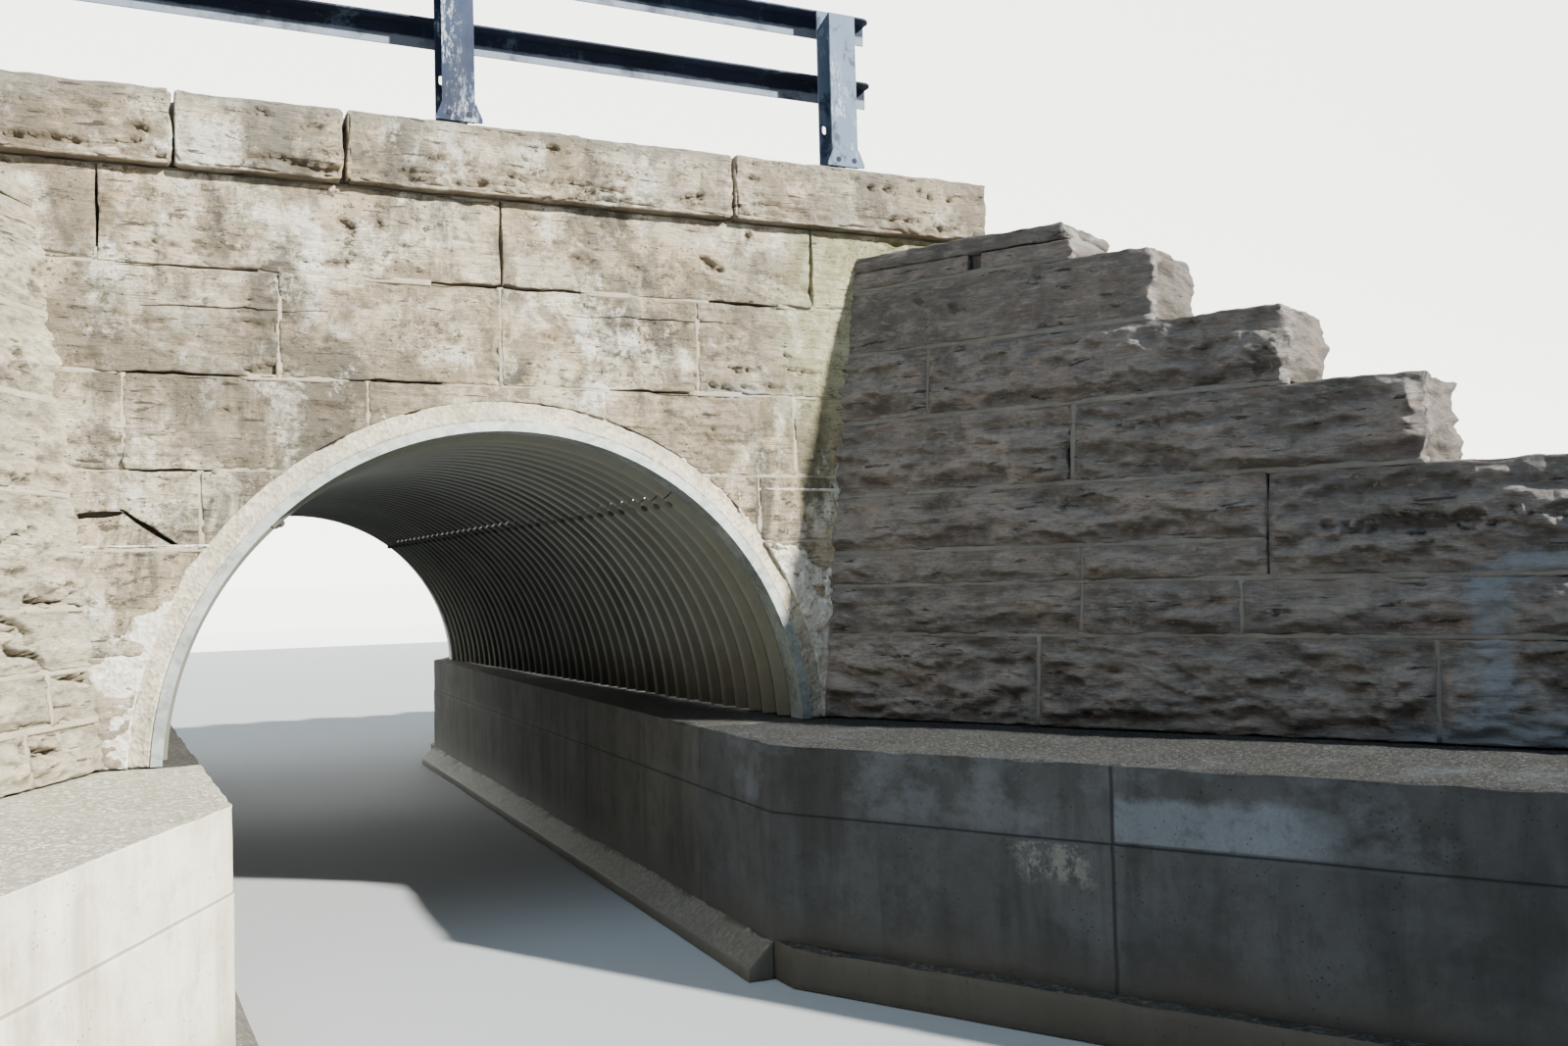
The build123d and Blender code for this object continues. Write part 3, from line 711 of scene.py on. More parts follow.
def rock_stone(name, lit=False):
    m = Mat(name, rough=0.93, spec=0.25)
    tr, tg, low = m.attr()
    # lit makes a painted-sunlit copy, twice as bright and warmer; without it the colours are darkened as painted
    # shade
    g = 2.05 if lit else 1.0

    def c(r, gg, b):
        return (min(r * g * (1.03 if lit else 1.0), .8), min(gg * g, .78), min(b * g * (0.92 if lit else 1.0), .72))
    big = m.noise(1.6, 4, 0.6, off=(3, 3, 1))
    mid = m.noise(7.0, 5, 0.62, (1, 1, 1.5))
    beds = m.noise(11.0, 4, 0.65, (0.6, 0.6, 4.5), (1, 2, 3), 0.3)
    base = m.ramp(big, (0.28, c(0.190, 0.186, 0.182)), (0.52, c(0.268, 0.258, 0.250)), (0.75, c(0.36, 0.345, 0.33)))
    base = m.mix(m.mul(m.rng(mid, 0.42, 0.70), 0.6), base, c(0.40, 0.355, 0.32))
    base = m.mix(m.mul(m.rng(beds, 0.5, 0.70), 0.65), base, c(0.13, 0.12, 0.115))
    base = m.mix(1.0, base, m.mix(tr, (0.82, 0.83, 0.85), (1.18, 1.12, 1.06)), "MULTIPLY")
    grey = m.mul(m.rng(m.noise(2.2, 5, 0.65, (1, 1, 0.8), (9, 2, 2)), 0.46, 0.64), 0.6)
    base = m.mix(grey, base, c(0.215, 0.21, 0.20))
    pink = m.mul(m.rng(m.noise(3.1, 4, 0.6, (1, 1, 2), (5, 8, 2)), 0.54, 0.70), 0.55)
    base = m.mix(pink, base, c(0.40, 0.29, 0.225))
    lime = m.mul(m.rng(m.noise(4.6, 6, 0.7, (0.8, 0.8, 1.4), (2, 2, 8)), 0.57, 0.68), 0.5)
    base = m.mix(lime, base, c(0.47, 0.455, 0.42))
    soot = m.mul(m.rng(m.noise(4.2, 6, 0.7, (1, 1, 0.55), (1, 6, 2)), 0.53, 0.70), 0.45 if lit else 0.70)
    base = m.mix(soot, base, c(0.085, 0.08, 0.075))
    # painted shade in recesses, darker the deeper a point lies behind the face, and a painted highlight on the proud
    # parts
    base = m.mix(m.mul(m.rng(low, 0.35, 1.0), 0.70), base, c(0.065, 0.058, 0.052))
    base = m.mix(m.mul(m.rng(low, 0.30, 0.0), 0.30), base, c(0.44, 0.41, 0.375))
    nx, ny, nz = m.normal()
    base = m.mix(m.mul(m.rng(nz, 0.40, 0.95), 0.45), base, c(0.30, 0.275, 0.235))
    # painted shade under the ledges: faces turned downward are much darker
    base = m.mix(m.mul(m.rng(nz, -0.12, -0.60), 0.75), base, c(0.055, 0.048, 0.042))
    fiss = m.rng(m.noise(12.0, 5, 0.62, (0.45, 0.45, 3.0), (4, 4, 4), 0.35), 0.625, 0.655)
    base = m.mix(m.mul(fiss, 0.9), base, (0.022, 0.019, 0.017))
    blotch = m.noise(17.0, 8, 0.82, (0.6, 0.6, 1.9), (5, 2, 9), 0.4)
    base = m.mix(m.mul(m.rng(blotch, 0.50, 0.58), 0.45), base, c(0.105, 0.095, 0.087))
    base = m.mix(m.mul(m.rng(blotch, 0.46, 0.40), 0.40), base, c(0.47, 0.425, 0.375))
    worn = m.mul(m.rng(m.noise(1.7, 8, 0.72, (0.8, 0.8, 1.6), (12, 4, 4)), 0.52, 0.62), 0.45)
    base = m.mix(worn, base, c(0.43, 0.385, 0.34))
    lam = m.noise(40.0, 4, 0.68, (0.28, 0.28, 5.0), (3, 7, 5), 0.12)
    base = m.mix(m.mul(m.rng(lam, 0.52, 0.68), 0.55), base, c(0.10, 0.092, 0.085))
    # the tops, the ends and the rear are darker: painted shade, with some soil
    px, py, pz = m.xyz()
    back = m.math("ADD", m.mul(m.math("SUBTRACT", m.math("ABSOLUTE", px), CORNER[-1 if lit else 1]), CA),
                  m.mul(m.math("SUBTRACT", m.mul(m.math("ABSOLUTE", py), -1.0), WALL_Y), SA))
    back = m.math("SUBTRACT", back, m.mul(m.math("SUBTRACT", pz, LEDGE), BATTER))
    back = m.math("ADD", back, m.mul(m.math("SUBTRACT", m.noise(6, 5, 0.7, off=(8, 8, 8)), 0.5), 0.16))
    base = m.mix(m.rng(back, 0.035, 0.10, 0.0, 0.35 if lit else 0.62), base, c(0.125, 0.11, 0.092))
    if not lit:
        # painted shade: the shaded copy is tinted blue like sky light
        base = m.mix(1.0, base, (1.02, 1.0, 1.035), "MULTIPLY")
        # blue-grey cement smeared over one joint and along the foot
        x, y, z = m.xyz()
        u = m.math("ADD", m.mul(m.math("SUBTRACT", x, CORNER[1]), SA),
                   m.mul(m.math("SUBTRACT", m.mul(y, -1.0), -WALL_Y), CA))
        n = m.math("SUBTRACT", m.noise(3.6, 6, 0.7, off=(4, 9, 4)), 0.5)
        down = m.mul(m.rng(m.math("ABSOLUTE", m.math("SUBTRACT", m.math("ADD", u, m.mul(n, 0.45)), 2.72)),
                           0.045, 0.085, 1.0, 0.0), m.rng(z, 1.50, 1.46))
        top = m.mul(m.rng(m.math("ABSOLUTE", m.math("SUBTRACT", m.math("ADD", z, m.mul(n, 0.20)), 1.475)),
                          0.025, 0.055, 1.0, 0.0), m.rng(u, 2.62, 2.74))
        foot = m.mul(m.rng(m.math("ADD", z, m.mul(n, 0.30)), 0.94, 1.00, 1.0, 0.0), m.rng(u, 2.35, 2.6))
        smear = m.mul(m.rng(back, 0.10, 0.15, 1.0, 0.0), m.math("MAXIMUM", down, m.math("MAXIMUM", top, foot)), m.rng(y, -3.3, -3.4, 0.0, 0.78))
        base = m.mix(smear, base, m.mix(m.noise(14, 5, 0.7), (0.22, 0.25, 0.30), (0.37, 0.41, 0.47)))
    if lit:
        # painted sunlight: the sunlit copy is tinted warm
        base = m.mix(1.0, base, (1.04, 1.0, 0.88), "MULTIPLY")
    grain = m.noise(190, 3, 0.7)
    base = m.mix(m.mul(m.rng(grain, 0.3, 0.75), 0.25), base, c(0.11, 0.095, 0.08))
    nrm = m.bump(m.inv(beds), 0.012, 0.8)
    nrm = m.bump(m.noise(24, 8, 0.78, (0.8, 0.8, 1.9)), 0.026, 1.0, nrm)
    nrm = m.bump(m.voro(30, stretch=(0.8, 0.8, 1.9)), 0.008, 0.6, nrm)
    nrm = m.bump(m.inv(lam), 0.007, 0.9, nrm)
    nrm = m.bump(m.inv(fiss), 0.008, 0.8, nrm)
    nrm = m.bump(grain, 0.0016, 0.5, nrm)
    return m.done(base, m.rng(mid, 0.2, 0.8, 0.85, 0.97), nrm)


def mortar_mat(name, tint=(0.42, 0.385, 0.33), pebbles=True, stain=0.5):
    m = Mat(name, rough=0.95, spec=0.2)
    a = m.noise(9, 6, 0.65)
    b = m.noise(2.3, 4, 0.6, off=(4, 1, 1))
    base = m.mix(m.rng(b, 0.35, 0.65), tint, tuple(c * 0.80 for c in tint))
    base = m.mix(m.mul(m.rng(a, 0.42, 0.7), stain), base, tuple(c * 0.62 for c in tint))
    peb = m.voro(60, out="Color")
    sep = m.t.nodes.new("ShaderNodeSeparateColor")
    m.t.links.new(peb, sep.inputs[0])
    if pebbles:
        base = m.mix(m.mul(m.rng(sep.outputs[0], 0.70, 0.8), 0.5), base, (0.22, 0.165, 0.12))
        base = m.mix(m.mul(m.rng(sep.outputs[1], 0.72, 0.85), 0.5), base, tuple(min(c * 1.25, .8) for c in tint))
    run = m.rng(m.noise(4.5, 5, 0.62, (1.0, 1.0, 0.22), (11, 3, 4), 0.4), 0.52, 0.68)
    base = m.mix(m.mul(run, 0.5), base, (0.24, 0.22, 0.195))
    fine = m.noise(120, 4, 0.7)
    base = m.mix(m.mul(m.rng(fine, 0.4, 0.7), 0.25), base, (0.15, 0.14, 0.125))
    nrm = m.bump(m.voro(60), 0.006, 0.7 if pebbles else 0.15)
    nrm = m.bump(a, 0.008, 0.5, nrm)
    nrm = m.bump(fine, 0.002, 0.6, nrm)
    return m.done(base, None, nrm)


def concrete_mat(name, base0, drk, lit, mud=(0.040, 0.037, 0.032), streak=0.62, seamy=None, patch=False):
    m = Mat(name, rough=0.88, spec=0.3)
    x, y, z = m.xyz()
    a = m.noise(1.1, 5, 0.6)
    b = m.noise(5.0, 6, 0.65, off=(2, 2, 5))
    run = m.noise(5.0, 5, 0.62, (1.0, 1.0, 0.13), (3, 3, 3), 0.5)
    run2 = m.noise(15.0, 4, 0.6, (1.0, 1.0, 0.09), (8, 1, 3), 0.3)
    base = m.ramp(a, (0.32, drk), (0.5, base0), (0.68, lit))
    base = m.mix(m.mul(m.rng(b, 0.42, 0.66), 0.5), base, lit)
    base = m.mix(m.mul(m.rng(m.noise(9.0, 6, 0.72, off=(5, 1, 2)), 0.50, 0.62), 0.45), base, drk)
    base = m.mix(m.mul(m.rng(run, 0.46, 0.66), streak), base, tuple(c * 0.75 for c in drk))
    base = m.mix(m.mul(m.rng(run2, 0.52, 0.70), 0.35), base, tuple(c * 1.1 for c in base0))
    # lime bloom, mostly over the pour line
    up = m.rng(z, 0.60, 0.66, 0.25, 1.0)
    bloom = m.mul(m.rng(m.noise(1.7, 6, 0.66, (1, 1, 1.5), (6, 2, 9)), 0.50, 0.60), up, 0.30 if patch else 0.35)
    base = m.mix(bloom, base, (0.155, 0.178, 0.215) if patch else lit)
    if patch:
        # a wiped patch of lime right of the upright joint, over the pour line
        n2 = m.math("SUBTRACT", m.noise(6, 8, 0.74, (1, 1, 1.6), (1, 9, 1)), 0.5)
        face_x = m.rng(m.normal()[0], -0.3, -0.6)
        yy = m.math("ADD", y, m.mul(n2, 0.22))
        zz = m.math("ADD", z, m.mul(n2, 0.12))
        wiped = m.mul(m.rng(y, -5.31, -5.30, 1.0, 0.0), m.rng(yy, -5.95, -5.80), m.rng(z, 0.627, 0.633),
                      m.rng(zz, 0.755, 0.785, 1.0, 0.0), face_x)
        base = m.mix(m.mul(wiped, m.rng(m.noise(16, 6, 0.75), 0.34, 0.50, 0.30, 0.62)), base, (0.145, 0.168, 0.205))
        low1 = m.mul(m.rng(yy, -5.24, -5.20), m.rng(yy, -4.98, -5.03, 0.0, 1.0), m.rng(zz, 0.47, 0.50),
                     m.rng(z, 0.612, 0.600), face_x)
        base = m.mix(m.mul(low1, m.rng(m.noise(19, 7, 0.8, off=(3, 3, 9)), 0.46, 0.54), 0.7), base, (0.16, 0.165, 0.155))
    wave = m.math("ADD", z, m.mul(m.noise(1.6, 4, 0.6, (1, 1, 0.3)), 0.16))
    mudf = m.rng(wave, 0.18, 0.42, 1.0, 0.0, True)
    base = m.mix(m.mul(mudf, 0.80), base, mud)
    line = m.math("ABSOLUTE", m.math("SUBTRACT", m.math("ADD", z, m.mul(
        m.noise(3, 2, 0.5, (1, 1, 0.1)), 0.006)), 0.6235))
    seam = m.rng(line, 0.0012, 0.0045, 1.0, 0.0)
    if seamy is not None:
        sx = m.math("ABSOLUTE", m.math("SUBTRACT", m.math("ADD", y, m.mul(
            m.noise(4, 2, 0.5, (0.1, 0.1, 1)), 0.012)), seamy))
        seam = m.math("MAXIMUM", seam, m.rng(sx, 0.003, 0.008, 1.0, 0.0))
    base = m.mix(m.mul(seam, 0.75), base, tuple(c * 0.35 for c in drk))
    nx, ny, nz = m.normal()
    dirt = m.mul(m.rng(nz, 0.6, 0.95), m.rng(m.noise(5, 6, 0.7), 0.25, 0.5))
    bits = m.rng(m.noise(40, 6, 0.80, (1, 1, 1)), 0.45, 0.55)
    # with patch set, the soil on top is darkened further as painted shade
    soil = m.mix(bits, tuple(c * (0.5 if patch else 0.85) for c in drk), tuple(c * (0.30 if patch else 0.95) for c in lit))
    fleck = m.rng(m.noise(70, 4, 0.80, (1, 1, 1), (5, 5, 5), 0.5), 0.555, 0.585)
    soil = m.mix(m.mul(fleck, 0.85), soil, (0.15, 0.135, 0.12) if patch else tuple(c * 0.62 for c in base0))
    base = m.mix(m.mul(dirt, 0.92), base, soil)
    fine = m.noise(95, 4, 0.7)
    holes = m.mul(m.rng(m.voro(46), 0.10, 0.17, 1, 0), m.rng(m.noise(8, 2, 0.5, off=(1, 1, 1)), 0.5, 0.6))
    base = m.mix(m.mul(holes, 0.7), base, tuple(c * 0.4 for c in drk))
    base = m.mix(m.mul(m.rng(fine, 0.35, 0.7), 0.22), base, tuple(c * 0.55 for c in base0))
    nrm = m.bump(b, 0.006, 0.35)
    nrm = m.bump(m.inv(seam), 0.004, 0.6, nrm)
    nrm = m.bump(m.inv(holes), 0.004, 0.7, nrm)
    nrm = m.bump(m.mul(bits, dirt), 0.010, 0.8, nrm)
    nrm = m.bump(fine, 0.0015, 0.6, nrm)
    rough = m.math("SUBTRACT", 0.93, m.mul(mudf, 0.25))
    return m.done(base, rough, nrm)


def galvanised(name):
    m = Mat(name, rough=0.5, metal=0.75, spec=0.5)
    sp = m.voro(48, out="Color")
    s = m.t.nodes.new("ShaderNodeSeparateColor")
    m.t.links.new(sp, s.inputs[0])
    a = m.noise(6, 5, 0.6)
    base = m.ramp(s.outputs[0], (0.0, (0.20, 0.225, 0.225)), (1.0, (0.33, 0.36, 0.355)))
    base = m.mix(m.mul(m.rng(a, 0.45, 0.7), 0.6), base, (0.46, 0.49, 0.48))
    rust = m.mul(m.rng(m.noise(9, 6, 0.7, off=(3, 3, 3)), 0.58, 0.72), 0.6)
    base = m.mix(rust, base, (0.24, 0.18, 0.13))
    fine = m.noise(70, 4, 0.65)
    nrm = m.bump(fine, 0.001, 0.4)
    rough = m.rng(a, 0.3, 0.7, 0.42, 0.66)
    return m.done(base, rough, nrm, m.rng(rust, 0.0, 0.6, 0.7, 0.1))


def liner_mat(name):
    """Weathered plate: dull crests, dark thin lines in the valleys (painted shade), pale crest lines deep inside
    (painted highlights), the plate darker away from the mouths (painted shade), rust near the foot.
    """
    m = Mat(name, rough=0.62, metal=0.2, spec=0.4)
    x, y, z = m.xyz()
    dz = m.math("SUBTRACT", z, ARCH_Z)
    rad = m.math("SQRT", m.math("ADD", m.mul(x, x), m.mul(dz, dz)))
    valley_shade = m.rng(rad, 1.305, 1.317, 0.0, 1.0, True)
    crest_highlight = m.mul(m.rng(rad, 1.284, 1.274, 0.0, 1.0, True), m.rng(rad, 1.2690, 1.2705))
    a = m.noise(2.2, 5, 0.6)
    b = m.noise(14, 5, 0.65, off=(1, 5, 2))
    # painted shade inside the barrel: the plate is lighter near the mouths and darker deeper in
    near = m.rng(m.math("ABSOLUTE", y), 1.6, 3.1)
    base = m.ramp(a, (0.3, (0.045, 0.046, 0.042)), (0.5, (0.075, 0.076, 0.070)), (0.72, (0.12, 0.12, 0.108)))
    base = m.mix(m.mul(near, 0.80), base, (0.150, 0.156, 0.128))
    base = m.mix(m.mul(m.rng(b, 0.50, 0.7), 0.35), base, (0.15, 0.125, 0.095))
    deep_shade = m.inv(near)
    # painted highlights: pale crest lines deep inside the barrel
    base = m.mix(m.math("ADD", m.mul(crest_highlight, deep_shade, 0.75), m.mul(crest_highlight, 0.15)), base, (0.42, 0.43, 0.41))
    # painted shade: dark thin lines in the valleys
    base = m.mix(m.mul(valley_shade, 0.96), base, (0.010, 0.010, 0.009))
    foot = m.rng(z, 0.88, 1.25, 1.0, 0.0)
    base = m.mix(m.mul(foot, m.rng(b, 0.3, 0.6, 0.1, 0.45)), base, (0.13, 0.10, 0.072))
    fine = m.noise(80, 4, 0.65)
    nrm = m.bump(fine, 0.0012, 0.5)
    return m.done(base, m.rng(b, 0.3, 0.7, 0.5, 0.8), nrm, m.rng(valley_shade, 0, 1, 0.25, 0.05))


def rail_paint(name, worn_amount=0.55):
    """Black paint worn to grey-blue primer and zinc, with rust at the edges.
    The rails have a pale strip along the lower edge of the hanging leg: worn paint, and painted sunlight. The posts
    are worn most at the right."""
    m = Mat(name, rough=0.7, spec=0.22)
    x, y, z = m.xyz()
    a = m.noise(6, 6, 0.68, (1, 1, 0.45))
    b = m.noise(34, 5, 0.7, off=(2, 2, 2))
    c = m.noise(3.0, 3, 0.5, off=(5, 5, 1))
    t = 0.62 - 0.22 * worn_amount
    if worn_amount > 0.9:
        # posts: chalky blue-black at the left, faded nearly to zinc at the right, with upright scuffs
        k = m.rng(x, 0.6, 1.2)
        base = m.mix(m.rng(c, 0.38, 0.60), (0.008, 0.013, 0.032), (0.021, 0.033, 0.068))
        base = m.mix(m.mul(k, 0.80), base, (0.13, 0.175, 0.245))
        patch = m.rng(m.noise(7, 5, 0.66, (1, 1, 0.5), (4, 4, 1)), 0.53, 0.62)
        scuff = m.mul(m.rng(m.noise(60, 6, 0.80, (1, 1, 0.30), (6, 6, 6)), 0.50, 0.55), patch)
        base = m.mix(m.mul(scuff, 0.80), base, (0.36, 0.41, 0.48))
        dark = m.rng(m.noise(11, 6, 0.7, (1, 1, 0.6), (2, 8, 5)), 0.52, 0.60)
        base = m.mix(m.mul(dark, 0.75), base, (0.014, 0.020, 0.040))
    else:
        base = m.mix(m.rng(c, 0.4, 0.65), (0.006, 0.009, 0.022), (0.012, 0.019, 0.046))
        worn = m.mul(m.rng(a, t + 0.02, t + 0.12), m.rng(b, 0.40, 0.58))
        base = m.mix(m.mul(worn, 0.55), base, (0.10, 0.14, 0.21))
    if worn_amount < 0.9:
        # pale strip along the lower edge of each rail's hanging leg: worn paint, and painted sunlight
        wave = m.mul(m.math("SUBTRACT", m.noise(7, 5, 0.65, (1, 1, 0.3), (3, 3, 8)), 0.5), 0.030)
        h = m.math("ADD", z, wave)
        for z0 in (3.711, 4.016):
            worn_sunlit_strip = m.mul(m.rng(h, z0 + 0.036, z0 + 0.046, 1.0, 0.0), m.rng(h, z0 - 0.03, z0 - 0.02),
                         m.rng(m.noise(9, 4, 0.6, off=(3, 1, 3)), 0.30, 0.50, 0.15, 0.65))
            base = m.mix(worn_sunlit_strip, base, (0.22, 0.26, 0.33))
    rust = m.rng(m.noise(16, 5, 0.7, off=(1, 8, 3)), 0.66, 0.76)
    base = m.mix(m.mul(rust, 0.8), base, (0.15, 0.07, 0.035))
    nrm = m.bump(b, 0.0012, 0.6)
    nrm = m.bump(m.noise(120, 3, 0.6), 0.0006, 0.5, nrm)
    return m.done(base, m.rng(a, 0.35, 0.7, 0.62, 0.88), nrm)


def stage_mat(name, col):
    m = Mat(name, rough=0.95, spec=0.1)
    n = m.noise(0.6, 2, 0.5)
    return m.done(m.mix(m.mul(n, 0.06), col, tuple(c * 0.9 for c in col)))


SANDSTONE = dressed_stone("sandstone")
COPING = dressed_stone("coping_stone", True)
# painted light: a shaded copy of the rock stone for the right wing and a sunlit copy for the left
ROCK_SHADED = rock_stone("rock_faced_stone")
ROCK_LIT = rock_stone("rock_faced_stone_sunlit", True)
JOINT = mortar_mat("joint_mortar", (0.38, 0.335, 0.255), False)
WINGJOINT = mortar_mat("wing_joint_mortar", (0.175, 0.170, 0.160), False, 0.8)
MORTAR = mortar_mat("cement_mortar", (0.60, 0.575, 0.52), True)
SLURRY = mortar_mat("cement_slurry", (0.50, 0.455, 0.36), True, 0.9)
# painted light: the first concrete below is a dark copy for the right toe walls, painted shade with some water
# staining; CONCRETE_LIT is a sunlit copy for the left
CONCRETE_SHADED = concrete_mat("concrete_shaded_and_stained", (0.040, 0.042, 0.045), (0.022, 0.023, 0.024), (0.062, 0.066, 0.073),
                        patch=True, seamy=-5.296)
CONCRETE_LIT = concrete_mat("concrete", (0.58, 0.545, 0.44), (0.38, 0.335, 0.245), (0.76, 0.735, 0.635),
                            mud=(0.20, 0.17, 0.125), streak=0.68)
# painted shade: the stem walls inside the barrel get a very dark concrete
STEM = concrete_mat("stem_concrete_shaded", (0.055, 0.052, 0.049), (0.028, 0.026, 0.024), (0.088, 0.084, 0.078))
# painted shade: the right footings get a darker copy of the footing concrete
FOOTING_SHADED = concrete_mat("footing_shaded", (0.085, 0.080, 0.072), (0.046, 0.043, 0.039), (0.13, 0.125, 0.115))
FOOTING = concrete_mat("footing_concrete", (0.23, 0.215, 0.185), (0.13, 0.118, 0.10), (0.33, 0.315, 0.28))
BAND = galvanised("galvanised_band")
LINER = liner_mat("weathered_steel")
RAIL = rail_paint("railing_paint", 0.35)
POST = rail_paint("railing_paint_worn", 1.0)
BOLT = mortar_mat("rusted_bolt", (0.045, 0.038, 0.032), False, 0.6)
BLACK = rail_paint("bolt_paint", 0.0)


# ------------------------------------------------------------- placements
def wall_place(sy):
    """Headwall coordinates (x, height over the ledge, depth) to the frame."""
    def f(p):
        return np.stack([p[:, 0], sy * (WALL_Y + p[:, 2]), LEDGE + p[:, 1]], 1)
    return f, sy > 0


def coping_place(sy):
    def f(p):
        return np.stack([p[:, 0], sy * (WALL_Y - COPING_PROUD + p[:, 2]), WALL_TOP + p[:, 1]], 1)
    return f, sy > 0


def wing_place(sx, sy):
    corner = CORNER[sx]

    def f(p):
        off = BATTER * p[:, 1] * (1 - np.clip(p[:, 2], 0, WING_T) / WING_T) + p[:, 2]
        return np.stack([sx * (corner + p[:, 0] * SA + off * CA),
                         sy * (WALL_Y - p[:, 0] * CA + off * SA), LEDGE + p[:, 1]], 1)
    return f, sx * sy > 0


# ---------------------------------------------------------------- headwall
COURSES = [0.0, 0.398, 0.784, 1.073, 1.428, 1.830, 2.189]
HEAD_JOINTS = {
    5: [-2.29, -1.500, -0.014, 1.407, 2.29],
    4: [-2.29, -1.900, -0.877, -0.02, 0.843, 1.75, 2.29],
    3: [-2.29, -1.420, -0.55, 0.42, 1.30, 2.29],
    2: [-2.29, -1.840, -1.159, 0.0, 1.12, 1.80, 2.29],
    1: [-2.29, -1.580, 1.50, 2.29],
    0: [-2.29, -1.90, 1.86, 2.29]}


def wedge(path, width, depth, place):
    """A crack: a thin closed wall along a path on the face, pointed at both ends."""
    n = len(path)
    us = np.array([p[0] for p in path])
    vs = np.array([p[1] for p in path])
    du = np.gradient(us)
    dv = np.gradient(vs)
    k = np.hypot(du, dv)
    nu, nv = -dv / k, du / k
    half = width / 2 * np.sin(np.linspace(0.12, math.pi - 0.12, n)) ** 0.6
    half = half * (1 + 0.45 * noise(np.stack([us * 40, vs * 40, vs * 0], 1), 77))
    half = np.maximum(half, width * 0.12)
    verts = []
    for w, sc in ((-0.05, 1.0), (depth, 0.55)):
        for sgn in (1, -1):
            verts.append(np.stack([us + sgn * nu * half * sc, vs + sgn * nv * half * sc,
                                   np.full(n, w)], 1))
    v = np.concatenate(verts)          # front+, front-, back+, back-
    a, b, c, d = 0, n, 2 * n, 3 * n
    quads = []
    for i in range(n - 1):
        quads += [(a + i, a + i + 1, b + i + 1, b + i), (c + i, d + i, d + i + 1, c + i + 1),
                  (a + i, c + i, c + i + 1, a + i + 1), (b + i, b + i + 1, d + i + 1, d + i)]
    quads += [(a, b, d, c), (a + n - 1, c + n - 1, d + n - 1, b + n - 1)]
    return place(v), quads


def cylinder_y(radius, y0, y1, seg=160):
    t = np.linspace(0, 2 * math.pi, seg, endpoint=False)
    ring = np.stack([radius * np.cos(t), np.zeros(seg), ARCH_Z + radius * np.sin(t)], 1)
    v = np.concatenate([ring + [0, y0, 0], ring + [0, y1, 0]])
    quads = [(i, (i + 1) % seg, seg + (i + 1) % seg, seg + i) for i in range(seg)]
    quads += [tuple(range(seg))[::-1], tuple(range(seg, 2 * seg))]
    return v, quads


def cutter(name, shells):
    """One mesh of separate closed shells, all facing outward."""
    bm = bmesh.new()
    for v, faces in shells:
        vs = [bm.verts.new(tuple(p)) for p in v]
        for f in faces:
            bm.faces.new([vs[i] for i in f])
    bmesh.ops.recalc_face_normals(bm, faces=bm.faces)
    me = bpy.data.meshes.new(name)
    bm.to_mesh(me)
    bm.free()
    return me


def subtract(me, cut, name):
    """me minus cut, as a new mesh."""
    a = bpy.data.objects.new(name + "_a", me)
    b = bpy.data.objects.new(name + "_b", cut)
    for o in (a, b):
        bpy.context.scene.collection.objects.link(o)
    mod = a.modifiers.new("cut", "BOOLEAN")
    mod.operation = "DIFFERENCE"
    mod.object = b
    mod.solver = "MANIFOLD"
    dg = bpy.context.evaluated_depsgraph_get()
    dg.update()
    res = bpy.data.meshes.new_from_object(a.evaluated_get(dg))
    if len(res.vertices) < 8:
        mod.solver = "EXACT"
        dg.update()
        res = bpy.data.meshes.new_from_object(a.evaluated_get(dg))
    res.name = name
    for o in (a, b):
        bpy.data.objects.remove(o)
    return res


def jag(p, q, n, s, size):
    """A wandering line from p to q."""
    t = np.linspace(0, 1, n)
    u = p[0] + (q[0] - p[0]) * t
    v = p[1] + (q[1] - p[1]) * t
    k = np.stack([u * 14, v * 14, np.full(n, 0.5)], 1)
    env = np.sin(np.linspace(0, math.pi, n)) ** 0.5
    return list(zip(u + size * 0.4 * noise(k, s) * env, v + size * noise(k + 5, s + 1) * env))


def arch_half(v, r=COLLAR_R - 0.012):
    """Half width of the arch's opening at a height over the ledge."""
    h = LEDGE + v - ARCH_Z
    return math.sqrt(r * r - h * h) if h < r else 0.0


def cut_spans(spans, holes):
    for a, b in holes:
        new = []
        for p, q in spans:
            if b <= p or a >= q:
                new.append((p, q))
                continue
            if a > p:
                new.append((p, a))
            if b < q:
                new.append((b, q))
        spans = new
    return spans


